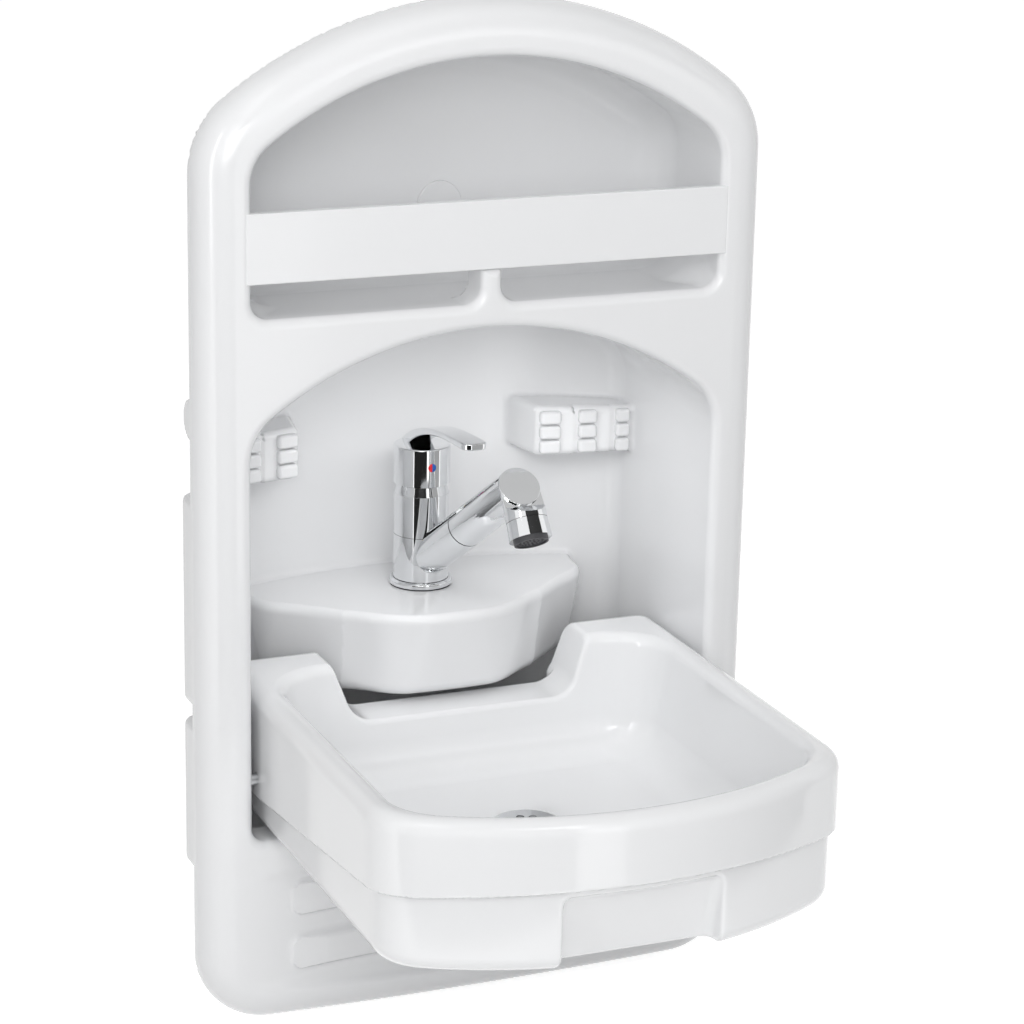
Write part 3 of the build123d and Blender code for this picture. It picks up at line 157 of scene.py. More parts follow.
# Toothbrush holders
HOLDER_FOOT = 350.0
HOLDER_HEIGHT = 37.0
HOLDER_FALL = 3.0
HOLDER_INNER = (90.0, 102.0)
HOLDER_OUTER = (165.0, 89.0)
HOLDER_FLARE = 11.0 / 60.0
HOLDER_EDGE = 5.0
HOLDER_FILLET = 3.0
HOLDER_BAY = 27.0
HOLDER_BAYS = 3
HOLDER_STEP = 2.5
PAD_COLUMNS = ((9.5, 15.5), (37.0, 13.5), (63.0, 10.5))
PAD_ROWS = (-1, 0, 1)
PAD_PITCH = 10.8
PAD_GROOVE = 1.2
PAD_RISE = 3.6
PAD_EDGE = 2.4

# The six faces of a block whose eight corners are counted along its own three directions
BLOCK_FACES = ((0, 1, 3, 2), (4, 6, 7, 5), (0, 4, 5, 1), (2, 3, 7, 6), (0, 2, 6, 4), (1, 5, 7, 3))

# Outer rails and bosses on the sides of the recess
SIDE_RAIL_X = 172.0
SIDE_RAIL_BACK_Y = 112.0
SIDE_RAIL_SPANS = ((71.0, 182.0), (193.0, 346.0))
SIDE_RAIL_EDGE = 6.0
BOSS_RADIUS = 15.0
BOSS_Y = 93.0
BOSS_Z = 402.0
BOSS_ROOT = 10.0
OUTER_EDGE = 2.0

# Bores for the hinge bushes and the sump outlet, and the place of the tap
PIVOT_Y = -15.0
PIVOT_Z = 180.0
BUSH_RADIUS = 7.0
OUTLET_Y = 82.0
TAP_Y = 97.6
OUTLET_RADIUS = 17.5

# Basin
RIM_Z = 242.0
BASIN_HALF_WIDTH = 160.0
BASIN_FRONT = 298.0
BASIN_ARCH = 285.0
BASIN_SHOULDER = 42.0
BASIN_REAR = -55.0
BASIN_REAR_CORNER = 14.0
RIM_RADIUS = 11.0
BASIN_WALL = 4.0
RIM_GROWTH = 1.3
BOWL_HALF_WIDTH = 142.0
BOWL_FRONT = 283.0
BOWL_ARCH = 262.0
BOWL_SHOULDER = 42.0
BOWL_REAR = -16.0
BOWL_REAR_CORNER = 42.0
BOWL_FLOOR = 160.0
BOWL_TAPER = math.radians(9.0)
BOWL_FLOOR_RADIUS = 25.0
BOWL_RIM_RADIUS = 7.0
SKIRT_FOOT = 164.1
SKIRT_SLOPE = math.tan(math.radians(6.0))
SKIRT_EDGE = 1.2
EAR_FOOT = 197.0
EAR_FRONT_Y = 27.0
TAB_FRONT_Y = 21.0
TAB_FOOT = 182.0
NOTCH_Z = 201.0
NOTCH_HALF_WIDTH = 80.0
NOTCH_TOP_HALF_WIDTH = 95.0
NOTCH_FRONT_Y = -48.0
NOTCH_REAR_Y = 47.0
NOTCH_FILLET = 12.0
NOTCH_EDGE = 3.0
UNDER_Z = 140.0
UNDER_INSET = 4.5
UNDER_EDGE = 12.0
UNDER_OVERLAP = 6.0
UNDER_GAP = 0.3
UNDER_REAR_LAP = 1.0
HEEL_RADIUS = 40.0
GRIP_HALF_WIDTH = 54.0
GRIP_TOP = 190.0
GRIP_TOP_Y = -284.0
GRIP_FOOT_Y = -269.0
GRIP_EDGE = 6.0
GRIP_MOUTH_EDGE = 2.5
DUCT_HALF_WIDTH = 18.5
DUCT_TOP = 154.5
DUCT_FOOT = 148.5
DRAIN_Y = -103.0
DRAIN_RADIUS = 22.8

# Light, in metres and watts
MIDDLE = (0.0, -0.05, 0.33)
LAMPS = (
    ("key", (-1.2, -2.3, 1.5), (1.3, 1.3), 6.0),
    ("front", (-0.75, -2.0, 1.05), (0.9, 0.9), 10.0),
    ("high", (-0.3, -1.9, 1.9), (1.2, 1.0), 8.0),
    ("fill", (0.7, -2.6, 0.7), (1.0, 1.0), 3.0),
    ("top", (-0.2, -0.9, 2.5), (1.5, 1.0), 10.0),
    ("strip", (-1.9, -1.0, 0.9), (0.25, 1.7), 6.0),
)
CEILING_LOW = (-0.6, -1.4)
CEILING_HIGH = (1.5, 0.6)
CEILING_Z = 1.8
SKY_LIGHT = 0.33
FLOOR_GLOW = 0.72
FLOOR_REACH = 6.0
FLOOR_GAP = 0.002

# Mesh fineness
BODY_CELL = 2.2
BASIN_CELL = 2.0

# Share of a cell by which the grid starts before the box, so that no flat face lies on a grid plane
GRID_SHIFT = (0.0, 1.863, 1.689)
GRID_MARGIN = 3


# Signed distances, negative inside


def meet(a, b, radius):
    """Where both shapes are, with the convex edge between them rounded."""
    rounded = np.hypot(np.maximum(radius + a, 0), np.maximum(radius + b, 0))
    return np.minimum(np.maximum(a, b), -radius) + rounded


def join(a, b, radius):
    """Where either shape is, with the concave corner between them filled."""
    return -meet(-a, -b, radius)


def arched(u, v, half_width, foot, crown, arch, shoulder, corner, sag=0.0):
    """Straight sides under an arched head with round shoulders, seen square on."""
    centre = crown - arch
    reach = arch - shoulder
    corner_u = half_width - shoulder
    corner_v = centre + np.sqrt(reach**2 - corner_u**2)
    across, along = u - corner_u, v - corner_v
    beyond = across * (corner_v - centre) - along * corner_u
    plain = np.maximum(u - half_width, np.hypot(u, np.maximum(v - centre, 0)) - arch)
    head = np.where((along > 0) & (beyond > 0), np.hypot(across, along) - shoulder, plain)
    if sag:
        bow = (half_width**2 + sag**2) / (2 * sag)
        return meet(head, np.hypot(u, v - foot + sag - bow) - bow, corner)
    return meet(head, foot - v, corner)


def ramp(value, start, end):
    """Smooth step from 0 to 1 between two values."""
    t = np.clip((value - start) / (end - start), 0, 1)
    return t * t * (3 - 2 * t)


def outside_line(u, v, first, second):
    """Distance from the line through two points, positive on its left hand."""
    along_u, along_v = second[0] - first[0], second[1] - first[1]
    length = math.hypot(along_u, along_v)
    return ((v - first[1]) * along_u - (u - first[0]) * along_v) / length


def upper_space(x, y, z):
    """Inside of the upper compartment and its opening."""
    corner = UPPER_CORNER + (PAN_CORNER - UPPER_CORNER) * ramp(y, *PAN_CORNER_GROWTH)
    outline = arched(
        x, z, UPPER_HALF_WIDTH, UPPER_FOOT, UPPER_CROWN, OPENING_ARCH, UPPER_SHOULDER, corner
    )
    return meet(outline, y - PAN_BACK_Y, PAN_EDGE)


def lower_space(x, y, z):
    """Inside of the recess, its opening and the sump."""
    splay = (LOWER_HALF_WIDTH - RECESS_REAR_HALF_WIDTH) / (RECESS_CORNER_Y - FRONT_Y)
    half_width = LOWER_HALF_WIDTH - (y - FRONT_Y) * splay
    outline = arched(
        x, z, half_width, 0.0, LOWER_CROWN, OPENING_ARCH, LOWER_SHOULDER, LOWER_CORNER
    )
    rise = RECESS_BACK_Y - RECESS_CORNER_Y
    back = (RECESS_REAR_HALF_WIDTH**2 + rise**2) / (2 * rise)
    outline = meet(outline, np.hypot(x, y - RECESS_BACK_Y + back) - back, RECESS_BACK_EDGE)
    sump = meet(SUMP_FLOOR - z, SUMP_FRONT_Y - y, SUMP_EDGE)
    return meet(outline, join(LOWER_FOOT - z, sump, SILL_EDGE), LOWER_CORNER)


def ledge_solid(x, y, z, inset=0.0):
    """Tap ledge, narrower towards its sole."""
    wing = meet(x - LEDGE_WING[0], outside_line(x, y, LEDGE_WING, LEDGE_NECK), LEDGE_WING_RADIUS)
    wing = np.maximum(wing, LEDGE_NECK[1] - y)
    crown = LEDGE_NOSE[1] - LEDGE_FRONT_Y
    bow = (LEDGE_NOSE[0] ** 2 + crown**2) / (2 * crown)
    nose = np.hypot(x, y - LEDGE_FRONT_Y - bow) - bow
    nose = meet(nose, outside_line(x, y, LEDGE_NECK, LEDGE_NOSE), LEDGE_NOSE_RADIUS)
    plan = join(wing, nose, LEDGE_NECK_BLEND)
    side = (plan + (LEDGE_TOP - z) * math.tan(LEDGE_TAPER)) * math.cos(LEDGE_TAPER) + inset
    solid = meet(side, z - LEDGE_TOP + inset, LEDGE_TOP_EDGE)
    return meet(solid, LEDGE_TOP - LEDGE_HEIGHT + inset - z, LEDGE_SOLE_EDGE)


def holder_solid(x, y, z, inset=0.0):
    """Toothbrush holder in the corner of the recess."""
    run = (x - HOLDER_INNER[0]) / HOLDER_BAY
    face = outside_line(x, y, HOLDER_OUTER, HOLDER_INNER) + HOLDER_STEP * (np.floor(run) + 1 - run)
    end = HOLDER_INNER[0] - HOLDER_FLARE * (y - HOLDER_INNER[1]) - x
    solid = meet(face + inset, end + inset, HOLDER_EDGE)
    half = (HOLDER_HEIGHT - HOLDER_FALL * run / HOLDER_BAYS) / 2
    height = np.abs(z - HOLDER_FOOT - HOLDER_HEIGHT / 2) - half
    return meet(solid, height + inset, HOLDER_EDGE)


def surround_body(x, y, z):
    """The whole white moulding: rolled edge, two openings, compartment, recess and sump."""
    x = np.abs(x)
    upper = upper_space(x, y, z)
    lower = lower_space(x, y, z)
    outline = arched(
        x, z, SURROUND_HALF_WIDTH, SURROUND_FOOT, SURROUND_CROWN, SURROUND_ARCH,
        SURROUND_SHOULDER, SURROUND_CORNER, sag=SURROUND_SAG,
    )
    face = meet(outline, FRONT_Y - y, NOSE_RADIUS)
    rest = np.maximum(x - REST_HALF_WIDTH, z - REST_TOP)
    face = meet(face, -meet(upper, -rest, REST_FILLET), LIP_RADIUS)
    face = meet(face, -lower, LIP_RADIUS)

    bow = (APRON_HALF_WIDTH**2 + APRON_DEPTH**2) / (2 * APRON_DEPTH)
    dish = np.hypot(x, y - FRONT_Y - APRON_DEPTH + bow) - bow
    middle = (APRON_FOOT + APRON_HEAD) / 2
    hollow_dish = meet(dish, np.abs(z - middle) - (APRON_HEAD - APRON_FOOT) / 2, APRON_BLEND)
    face = meet(face, -hollow_dish, APRON_EDGE)
    for number in range(2):
        rib_middle = RIB_FOOT + RIB_HEIGHT / 2 + number * RIB_PITCH
        rib = meet(x - RIB_HALF_LENGTH, np.abs(z - rib_middle) - RIB_HEIGHT / 2, RIB_CORNER)
        rib = meet(rib, -dish - RIB_RISE, RIB_EDGE)
        rib = np.maximum(rib, FRONT_Y + RIB_SINK - y)
        face = join(face, np.maximum(rib, y - FRONT_Y - APRON_DEPTH - SKIN), RIB_EDGE)

    hollow = meet(outline + SKIN, FRONT_Y + SKIN - y, NOSE_RADIUS - SKIN)
    hollow = np.maximum(hollow, np.maximum(RETURN_WALL - upper, RETURN_WALL - lower))
    hollow = np.maximum(hollow, SKIN - dish)
    face = meet(np.maximum(face, y), -hollow, INNER_EDGE)

    pan = np.minimum(upper - PAN_WALL, np.maximum(upper - FLANGE_GROWTH, y - FLANGE_THICKNESS))
    pan = np.maximum(pan, -FLANGE_OVERLAP - y)
    pan = np.maximum(pan, -upper)

    recess = np.minimum(lower - RECESS_WALL, np.maximum(lower - FLANGE_GROWTH, y - FLANGE_THICKNESS))
    for foot, head in SIDE_RAIL_SPANS:
        rail = meet(x - SIDE_RAIL_X, np.abs(z - (foot + head) / 2) - (head - foot) / 2, SIDE_RAIL_EDGE)
        rail = np.maximum(rail, FLANGE_THICKNESS - y)
        recess = np.minimum(recess, meet(rail, y - SIDE_RAIL_BACK_Y, OUTER_EDGE))
    boss = meet(np.hypot(y - BOSS_Y, z - BOSS_Z) - BOSS_RADIUS, x - SIDE_RAIL_X, OUTER_EDGE)
    recess = join(recess, np.maximum(boss, RECESS_REAR_HALF_WIDTH - BOSS_ROOT - x), OUTER_EDGE)
    inner = meet(lower, -ledge_solid(x, y, z), LEDGE_FOOT_FILLET)
    inner = meet(inner, -holder_solid(x, y, z), HOLDER_FILLET)
    recess = np.maximum(np.maximum(recess, -FLANGE_OVERLAP - y), -inner)
    recess = np.maximum(recess, -ledge_solid(x, y, z, LEDGE_SKIN))
    recess = np.maximum(recess, -holder_solid(x, y, z, SKIN))
    outlet = np.maximum(np.hypot(x, y - OUTLET_Y) - OUTLET_RADIUS, z - SUMP_FLOOR - SKIN)
    recess = np.maximum(recess, -outlet)

    body = np.minimum(np.minimum(face, pan), recess)
    bore = np.hypot(y - PIVOT_Y, z - PIVOT_Z) - BUSH_RADIUS
    bore = np.maximum(bore, x - LOWER_HALF_WIDTH - 2 * RETURN_WALL)
    return np.maximum(body, -np.maximum(bore, LOWER_HALF_WIDTH - SKIN - x))


def basin_plan(x, y):
    """Outline of the basin seen from above."""
    return arched(
        x, -y, BASIN_HALF_WIDTH, BASIN_REAR, BASIN_FRONT, BASIN_ARCH, BASIN_SHOULDER, BASIN_REAR_CORNER
    )


def bowl_space(x, y, z):
    """Inside of the bowl."""
    plan = arched(
        x, -y, BOWL_HALF_WIDTH, BOWL_REAR, BOWL_FRONT, BOWL_ARCH, BOWL_SHOULDER, BOWL_REAR_CORNER
    )
    side = (plan + (RIM_Z - z) * math.tan(BOWL_TAPER)) * math.cos(BOWL_TAPER)
    return meet(side, BOWL_FLOOR - z, BOWL_FLOOR_RADIUS)


def skirt_foot(y):
    """Height of the skirt's lower edge."""
    return SKIRT_FOOT - y * SKIRT_SLOPE


def basin_body(x, y, z):
    """Rim, skirt, bowl and the two ears behind the notch."""
    x = np.abs(x)
    plan = basin_plan(x, y)
    bowl = bowl_space(x, y, z)
    block = meet(plan, z - RIM_Z, RIM_RADIUS)
    body = meet(block, -bowl, BOWL_RIM_RADIUS)
    slant = outside_line(x, z, (NOTCH_TOP_HALF_WIDTH, RIM_Z), (NOTCH_HALF_WIDTH, NOTCH_Z))
    notch = meet(slant, NOTCH_Z - z, NOTCH_FILLET)
    notch = np.maximum(notch, NOTCH_FRONT_Y - y)
    body = meet(body, -notch, NOTCH_EDGE)
    beyond = np.maximum(x - NOTCH_HALF_WIDTH, NOTCH_REAR_Y - y)
    body = meet(body, -beyond, NOTCH_EDGE)
    hollow = meet(plan + BASIN_WALL, z - RIM_Z + BASIN_WALL, RIM_RADIUS - BASIN_WALL)
    hollow = np.maximum(hollow, BASIN_WALL + RIM_GROWTH - bowl)
    hollow = np.maximum(hollow, BASIN_WALL + RIM_GROWTH - notch)
    hollow = np.maximum(hollow, y - EAR_FRONT_Y + BASIN_WALL)
    body = np.maximum(body, -hollow)
    foot = np.where(y > EAR_FRONT_Y, EAR_FOOT, np.where(y > TAB_FRONT_Y, TAB_FOOT, skirt_foot(y)))
    above = np.minimum(foot - z, bowl - BASIN_WALL)
    body = meet(body, above, SKIRT_EDGE)
    drain = np.maximum(np.hypot(x, y - DRAIN_Y) - DRAIN_RADIUS, z - BOWL_FLOOR - SKIN)
    return np.maximum(body, -drain)


def under_body(x, y, z):
    """Lower shell of the basin with its round heel and the finger grip."""
    x = np.abs(x)
    body = meet(basin_plan(x, y) + UNDER_INSET, UNDER_Z - z, UNDER_EDGE)
    heel = np.hypot(y - PIVOT_Y, z - PIVOT_Z) - HEEL_RADIUS
    body = np.maximum(body, np.where(y > PIVOT_Y, heel, UNDER_Z - z))
    body = np.maximum(body, z - skirt_foot(y) - UNDER_OVERLAP)
    body = np.maximum(body, BASIN_WALL + UNDER_GAP - bowl_space(x, y, z))
    body = np.maximum(body, y - TAB_FRONT_Y - UNDER_REAR_LAP)
    lean = outside_line(-y, z, (-GRIP_FOOT_Y, UNDER_Z), (-GRIP_TOP_Y, GRIP_TOP))
    grip = meet(meet(lean, x - GRIP_HALF_WIDTH, GRIP_EDGE), z - GRIP_TOP, GRIP_EDGE)
    body = meet(body, -grip, GRIP_MOUTH_EDGE)
    duct = np.abs(z - (DUCT_TOP + DUCT_FOOT) / 2) - (DUCT_TOP - DUCT_FOOT) / 2
    duct = np.maximum(duct, x - DUCT_HALF_WIDTH)
    return np.maximum(body, -np.maximum(duct, -y))


# Turning a distance into a smooth mesh


def cell_vertices(values, cells, cell):
    """One vertex for each crossed cell, at the mean of its edge crossings."""
    corners = [(i, j, k) for i in (0, 1) for j in (0, 1) for k in (0, 1)]
    at = {c: values[cells[0] + c[0], cells[1] + c[1], cells[2] + c[2]] for c in corners}
    total = np.zeros((len(cells[0]), 3))
    count = np.zeros(len(cells[0]))
    for first in corners:
        for axis in range(3):
            if first[axis]:
                continue
            second = tuple(c + (n == axis) for n, c in enumerate(first))
            crossed = (at[first] < 0) != (at[second] < 0)
            share = at[first][crossed] / (at[first][crossed] - at[second][crossed])
            point = np.tile(np.array(first, float), (len(share), 1))
            point[:, axis] += share
            total[crossed] += point
            count[crossed] += 1
    return (np.stack(cells, 1) + total / count[:, None]) * cell


def net_faces(inside, index):
    """Four-sided faces, one across each grid edge that crosses the surface."""
    faces = []
    for axis in range(3):
        one, two = (axis + 1) % 3, (axis + 2) % 3
        low = [slice(None)] * 3
        high = [slice(None)] * 3
        low[axis], high[axis] = slice(0, -1), slice(1, None)
        first, second = inside[tuple(low)], inside[tuple(high)]
        places = np.stack(np.nonzero(first != second), 1)
        keep = (places[:, one] > 0) & (places[:, two] > 0)
        keep &= (places[:, one] < inside.shape[one] - 1) & (places[:, two] < inside.shape[two] - 1)
        places = places[keep]
        ring = []
        for step_one, step_two in ((-1, -1), (0, -1), (0, 0), (-1, 0)):
            shifted = places.copy()
            shifted[:, one] += step_one
            shifted[:, two] += step_two
            ring.append(index[tuple(shifted.T)])
        ring = np.stack(ring, 1)
        outward = first[tuple(places.T)]
        faces.append(np.where(outward[:, None], ring, ring[:, ::-1]))
    return np.concatenate(faces)


def gradient(distance, points, step=0.25):
    """Direction in which the distance grows."""
    slopes = []
    for axis in range(3):
        offset = np.zeros(3)
        offset[axis] = step
        ahead, back = points + offset, points - offset
        slopes.append((distance(*ahead.T) - distance(*back.T)) / (2 * step))
    return np.stack(slopes, 1)


def settle(distance, points, cell, rounds=3):
    """Points moved onto the surface."""
    for _ in range(rounds):
        slope = gradient(distance, points)
        steep = np.maximum((slope**2).sum(1), 0.25)
        move = slope * (distance(*points.T) / steep)[:, None]
        size = np.linalg.norm(move, axis=1, keepdims=True)
        points = points - move * np.minimum(1, 0.6 * cell / np.maximum(size, 1e-9))
    return points


def moulded(name, distance, cell, body, slot, *nodes):
    """Piece made from a distance, on its body, in place of the nodes."""
    corners = [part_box(node) for node in nodes]
    low = np.min([c[0] for c in corners], axis=0) / MM
    high = np.max([c[1] for c in corners], axis=0) / MM
    start = low - np.array(GRID_SHIFT) * cell
    counts = np.ceil((high - low) / cell).astype(int) + GRID_MARGIN + 2
    half = int(math.ceil(high[0] / cell)) + GRID_MARGIN
    across = (np.arange(half) + 0.5) * cell
    deep, high_up = (start[n] + np.arange(counts[n]) * cell for n in (1, 2))
    grid = np.meshgrid(across, deep, high_up, indexing="ij", sparse=True)
    right = distance(*grid)
    values = np.concatenate([right[::-1], right])
    inside = values < 0
    rows, columns, layers = (length - 1 for length in inside.shape)
    parts = [
        inside[i:rows + i, j:columns + j, k:layers + k]
        for i in (0, 1) for j in (0, 1) for k in (0, 1)
    ]
    crossed = np.logical_or.reduce(parts) & ~np.logical_and.reduce(parts)
    cells = np.nonzero(crossed)
    index = np.full(crossed.shape, -1)
    index[cells] = np.arange(len(cells[0]))
    corner = np.array([-across[-1], start[1], start[2]])
    points = settle(distance, cell_vertices(values, cells, cell) + corner, cell)
    normals = gradient(distance, points)
    normals /= np.maximum(np.linalg.norm(normals, axis=1, keepdims=True), 1e-9)
    points = np.clip(points, low, high) * MM
    faces = net_faces(inside, index)
    mesh = bpy.data.meshes.new(name)
    mesh.vertices.add(len(points))
    mesh.vertices.foreach_set("co", points.ravel())
    mesh.loops.add(faces.size)
    mesh.loops.foreach_set("vertex_index", faces.ravel().astype(np.int32))
    mesh.polygons.add(len(faces))
    mesh.polygons.foreach_set("loop_start", np.arange(0, faces.size, 4, dtype=np.int32))
    mesh.update(calc_edges=True)
    mesh.validate()
    mesh.shade_smooth()
    mesh.normals_split_custom_set_from_vertices(normals.tolist())
    piece = bpy.data.objects.new(name, mesh)
    bpy.context.collection.objects.link(piece)
    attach(piece, body)
    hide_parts(*nodes)
    return piece


# Materials


def principled(name):
    """New material with its nodes, its links and its shader."""
    material = bpy.data.materials.new(name)
    material.use_nodes = True
    tree = material.node_tree
    return material, tree.nodes, tree.links, tree.nodes["Principled BSDF"]


def varied(nodes, links, scale, low, high, detail=3.0):
    """Noise over the object's own place, mapped between two values."""
    place = nodes.new("ShaderNodeTexCoord")
    noise = nodes.new("ShaderNodeTexNoise")
    spread = nodes.new("ShaderNodeMapRange")
    noise.inputs["Scale"].default_value = scale
    noise.inputs["Detail"].default_value = detail
    spread.inputs["To Min"].default_value = low
    spread.inputs["To Max"].default_value = high
    links.new(place.outputs["Object"], noise.inputs["Vector"])
    links.new(noise.outputs["Fac"], spread.inputs["Value"])
    return spread.outputs["Result"]


def bumped(nodes, links, shader, scale, depth):
    """Fine relief, such as the faint unevenness of a moulded surface."""
    bump = nodes.new("ShaderNodeBump")
    bump.inputs["Strength"].default_value = 1.0
    bump.inputs["Distance"].default_value = depth
    links.new(varied(nodes, links, scale, 0.0, 1.0), bump.inputs["Height"])
    links.new(bump.outputs["Normal"], shader.inputs["Normal"])


def plastic(name, colour, shade, roughness, relief=0.00002, coat=0.25):
    """Moulded plastic whose tone and gloss vary a little over the surface."""
    material, nodes, links, shader = principled(name)
    mix = nodes.new("ShaderNodeMix")
    mix.data_type = "RGBA"
    mix.inputs["A"].default_value = (*shade, 1)
    mix.inputs["B"].default_value = (*colour, 1)
    links.new(varied(nodes, links, 9.0, 0.2, 1.0), mix.inputs["Factor"])
    links.new(mix.outputs["Result"], shader.inputs["Base Color"])
    links.new(varied(nodes, links, 35.0, roughness * 0.85, roughness * 1.2), shader.inputs["Roughness"])
    shader.inputs["IOR"].default_value = 1.5
    shader.inputs["Coat Weight"].default_value = coat
    shader.inputs["Coat Roughness"].default_value = 0.08
    bumped(nodes, links, shader, 60.0, relief)
    return material


def metal(name, colour, roughness, spread):
    """Metal with faint smears in its polish."""
    material, nodes, links, shader = principled(name)
    mix = nodes.new("ShaderNodeMix")
    mix.data_type = "RGBA"
    mix.inputs["A"].default_value = (*(0.94 * c for c in colour), 1)
    mix.inputs["B"].default_value = (*colour, 1)
    links.new(varied(nodes, links, 60.0, 0.0, 1.0), mix.inputs["Factor"])
    links.new(mix.outputs["Result"], shader.inputs["Base Color"])
    links.new(varied(nodes, links, 90.0, roughness, roughness + spread), shader.inputs["Roughness"])
    shader.inputs["Metallic"].default_value = 1.0
    return material


MATERIALS = {
    "surround": plastic("gloss_white_surround", (0.83, 0.835, 0.845), (0.815, 0.82, 0.83), 0.18),
    "recess": plastic("gloss_white_recess", (0.825, 0.828, 0.835), (0.81, 0.813, 0.82), 0.18),
    "basin": plastic("gloss_white_basin", (0.84, 0.846, 0.856), (0.826, 0.832, 0.842), 0.12, coat=0.4),
    "rail": plastic("gloss_white_rail", (0.83, 0.836, 0.846), (0.815, 0.82, 0.83), 0.18),
    "metal": metal("satin_steel", (0.60, 0.61, 0.62), 0.28, 0.12),
    "chrome": metal("polished_chrome", (0.86, 0.87, 0.88), 0.03, 0.04),
    "brass": metal("satin_brass", (0.72, 0.58, 0.34), 0.25, 0.12),
    "rubber": plastic("black_rubber", (0.035, 0.035, 0.038), (0.02, 0.02, 0.022), 0.7, 0.0001, 0.0),
    "grey_plastic": plastic("grey_plastic", (0.42, 0.43, 0.44), (0.38, 0.39, 0.40), 0.45, 0.00005, 0.0),
    "dark_plastic": plastic("dark_plastic", (0.07, 0.07, 0.075), (0.045, 0.045, 0.05), 0.4, 0.00005, 0.0),
    "red": plastic("red_mark", (0.66, 0.02, 0.03), (0.58, 0.015, 0.02), 0.25),
    "blue": plastic("blue_mark", (0.02, 0.10, 0.40), (0.015, 0.08, 0.34), 0.25),
}


def dress(piece, material):
    """The piece takes this material alone."""
    piece.data.materials.clear()
    piece.data.materials.append(material)


for subpart in frame["record"]["subparts"]:
    dress(frame["nodes"][subpart["node"]], MATERIALS[subpart["material_slot"]])

surround = moulded(
    "surround_moulding", surround_body, BODY_CELL, "surround", "surround",
    "surround_frame", "upper_compartment", "lower_recess",
)
dress(surround, MATERIALS["surround"])
basin = moulded("basin_moulding", basin_body, BASIN_CELL, "basin", "basin", "basin_bowl")
dress(basin, MATERIALS["basin"])
under = moulded("basin_lower_shell", under_body, BASIN_CELL, "basin", "basin", "basin_under_shell")
dress(under, MATERIALS["basin"])


def holder_pads():
    """Grip pads on the slanted fronts of the two toothbrush holders."""
    across = Vector((*HOLDER_OUTER, 0)) - Vector((*HOLDER_INNER, 0))
    across.normalize()
    out = Vector((across.y, -across.x, 0))
    start = Vector((*HOLDER_INNER, HOLDER_FOOT + HOLDER_HEIGHT / 2))
    points, faces = [], []
    for place_along, width in PAD_COLUMNS:
        half = Vector((width, PAD_PITCH - PAD_GROOVE, 2 * PAD_RISE)) / 2
        for row in PAD_ROWS:
            place = start + across * place_along
            place.z += row * PAD_PITCH
            for side in (1, -1):
                first = len(points)
                for a in (-1, 1):
                    for b in (-1, 1):
                        for c in (-1, 1):
                            point = place + across * a * half.x + out * c * half.z
                            point.z += b * half.y
                            points.append((side * point.x * MM, point.y * MM, point.z * MM))
                for corners in BLOCK_FACES:
                    ring = [first + n for n in corners]
                    faces.append(ring if side < 0 else ring[::-1])
    mesh = bpy.data.meshes.new("holder_pads")
    mesh.from_pydata(points, [], faces)
    mesh.validate()
    mesh.update()
    mesh.shade_smooth()
    piece = bpy.data.objects.new("holder_pads", mesh)
    bpy.context.collection.objects.link(piece)
    soften = piece.modifiers.new("soft_edges", "BEVEL")
    soften.width = PAD_EDGE * MM
    soften.segments = 4
    soften.harden_normals = True
    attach(piece, "surround")
    dress(piece, MATERIALS["surround"])
    return piece


holder_pads()


# Camera, light and floor


def camera_axes():
    """Right, up and back directions of the camera."""
    forward = Vector((
        math.sin(CAMERA_YAW) * math.cos(CAMERA_PITCH),
        math.cos(CAMERA_YAW) * math.cos(CAMERA_PITCH),
        -math.sin(CAMERA_PITCH),
    ))
    level = Vector((math.cos(CAMERA_YAW), -math.sin(CAMERA_YAW), 0))
    above = level.cross(forward)
    right = level * math.cos(CAMERA_ROLL) + above * math.sin(CAMERA_ROLL)
    up = above * math.cos(CAMERA_ROLL) - level * math.sin(CAMERA_ROLL)
    return right, up, -forward


camera_data = bpy.data.cameras.new("camera")
camera_data.lens = CAMERA_LENS
camera_data.sensor_width = CAMERA_SENSOR
camera_data.clip_end = CAMERA_REACH
camera = bpy.data.objects.new("camera", camera_data)
bpy.context.collection.objects.link(camera)
turn = Matrix([list(direction) for direction in camera_axes()]).transposed()
camera.matrix_world = Matrix.Translation(Vector(CAMERA_PLACE) * MM) @ turn.to_4x4()
bpy.context.scene.camera = camera


def lamp(name, place, target, size, energy):
    """Large soft lamp aimed at a point."""
    data = bpy.data.lights.new(name, "AREA")
    data.shape = "RECTANGLE"
    data.size, data.size_y = size
    data.energy = energy
    piece = bpy.data.objects.new(name, data)
    piece.location = place
    piece.rotation_euler = (Vector(target) - Vector(place)).to_track_quat("-Z", "Y").to_euler()
    bpy.context.collection.objects.link(piece)
    return piece


# Name, place, size and power of each lamp that is aimed at the middle of the object
for name, place, size, energy in LAMPS:
    lamp(name, place, MIDDLE, size, energy)

# Small lamp in the mouth of the recess, which only lifts its shade; it's inside the bowl once the
# basin is up
recess_lamp = lamp("recess_lamp", (0.0, 0.01, 0.43), (0.0, 0.05, 0.2), (0.16, 0.05), 0.13)
recess_lamp.visible_camera = False
recess_lamp.visible_glossy = False


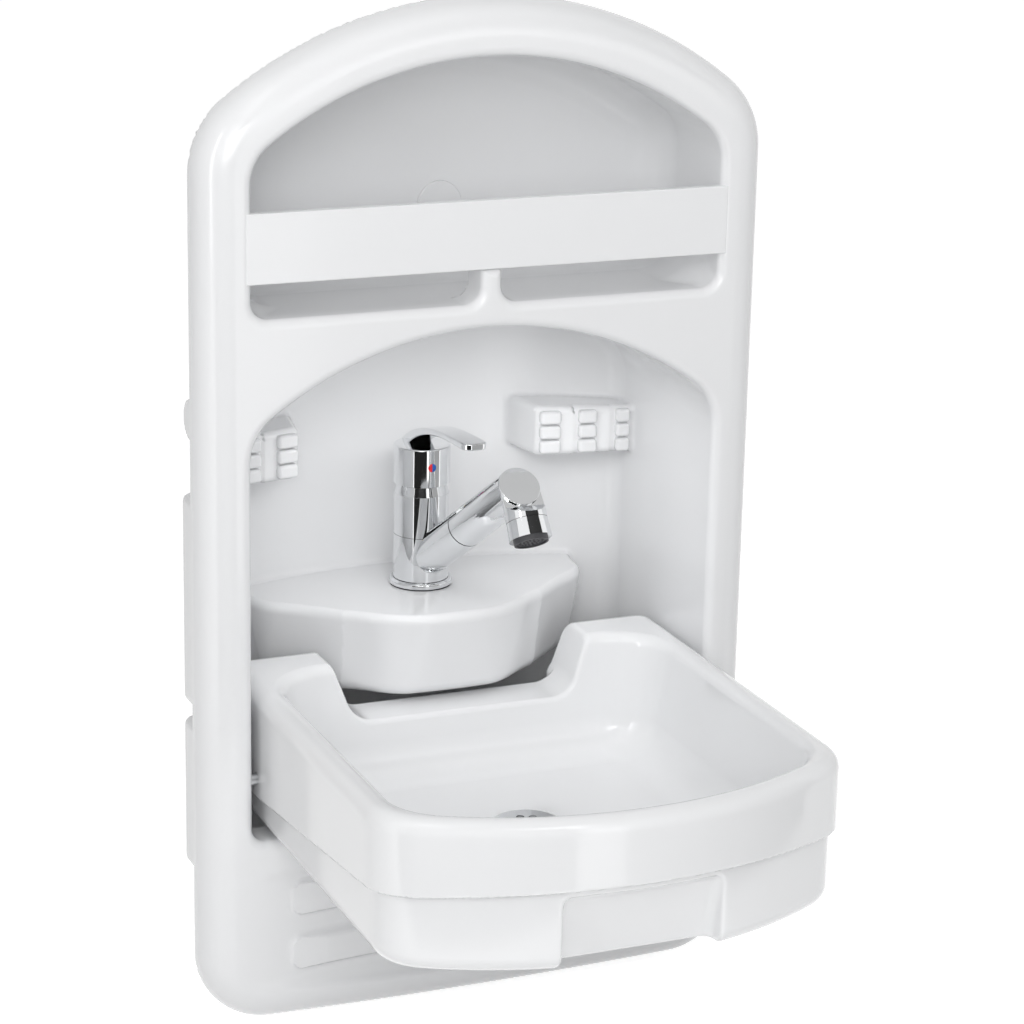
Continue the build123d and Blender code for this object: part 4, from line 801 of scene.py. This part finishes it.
def card(name, corners, strength):
    """Flat card that only shiny surfaces see; it gives the chrome its dark and grey bands."""
    mesh = bpy.data.meshes.new(name)
    mesh.from_pydata(corners, [], [(0, 1, 2, 3)])
    piece = bpy.data.objects.new(name, mesh)
    bpy.context.collection.objects.link(piece)
    paint = bpy.data.materials.new(name)
    paint.use_nodes = True
    paint.node_tree.nodes.clear()
    glow = paint.node_tree.nodes.new("ShaderNodeEmission")
    glow.inputs["Strength"].default_value = strength
    output = paint.node_tree.nodes.new("ShaderNodeOutputMaterial")
    paint.node_tree.links.new(glow.outputs["Emission"], output.inputs["Surface"])
    dress(piece, paint)
    piece.visible_camera = False
    piece.visible_diffuse = False
    piece.visible_shadow = False
    piece.visible_transmission = False
    piece.visible_volume_scatter = False
    return piece


def level_corners(low, high, height):
    """Corners of a level rectangle between two of them."""
    return [(*low, height), (high[0], low[1], height), (*high, height), (low[0], high[1], height)]


def upright_card(name, first, last, distance, foot, head, strength):
    """Card in front of the tap between two directions, counted from straight ahead to the left."""
    ends = []
    for degrees in (first, last):
        angle = math.radians(degrees)
        ends.append((-distance * math.sin(angle), TAP_Y * MM - distance * math.cos(angle)))
    one, two = ends
    card(name, [(*one, foot), (*two, foot), (*two, head), (*one, head)], strength)


upright_card("dark_card", 1.0, 52.0, 0.8, 0.0, 0.6, 0.02)
upright_card("grey_card", -52.0, -8.0, 0.8, 0.0, 0.6, 0.4)
upright_card("upper_dark_card", -60.0, 26.0, 1.2, 0.95, 1.65, 0.04)
card("ceiling_card", level_corners(CEILING_LOW, CEILING_HIGH, CEILING_Z), 0.6)


def white_to_eye(nodes, links, lit, shown):
    """Strength that is one value for light and another for what eyes, metal and glass see."""
    path = nodes.new("ShaderNodeLightPath")
    either = nodes.new("ShaderNodeMath")
    either.operation = "MAXIMUM"
    links.new(path.outputs["Is Camera Ray"], either.inputs[0])
    third = nodes.new("ShaderNodeMath")
    third.operation = "MAXIMUM"
    links.new(path.outputs["Is Glossy Ray"], third.inputs[0])
    links.new(path.outputs["Is Transmission Ray"], third.inputs[1])
    links.new(third.outputs["Value"], either.inputs[1])
    strength = nodes.new("ShaderNodeMapRange")
    strength.inputs["To Min"].default_value = lit
    strength.inputs["To Max"].default_value = shown
    links.new(either.outputs["Value"], strength.inputs["Value"])
    return strength.outputs["Result"]


world = bpy.data.worlds.new("studio")
bpy.context.scene.world = world
world.use_nodes = True
background = world.node_tree.nodes["Background"]
background.inputs["Color"].default_value = (1, 1, 1, 1)
links = world.node_tree.links
links.new(white_to_eye(world.node_tree.nodes, links, SKY_LIGHT, 1.0), background.inputs["Strength"])

floor_mesh = bpy.data.meshes.new("floor")
floor_z = cad_box[0].z - FLOOR_GAP
floor_corners = level_corners((-FLOOR_REACH, -FLOOR_REACH), (FLOOR_REACH, FLOOR_REACH), floor_z)
floor_mesh.from_pydata(floor_corners, [], [(0, 1, 2, 3)])
floor = bpy.data.objects.new("floor", floor_mesh)
bpy.context.collection.objects.link(floor)
floor_paint, nodes, links, shader = principled("pale_floor")
shader.inputs["Base Color"].default_value = (0.86, 0.86, 0.86, 1)
shader.inputs["Roughness"].default_value = 0.9
shader.inputs["Specular IOR Level"].default_value = 0.0
shader.inputs["Emission Color"].default_value = (1, 1, 1, 1)
links.new(white_to_eye(nodes, links, 0.0, FLOOR_GLOW), shader.inputs["Emission Strength"])
dress(floor, floor_paint)

bpy.context.scene.view_settings.view_transform = "Standard"
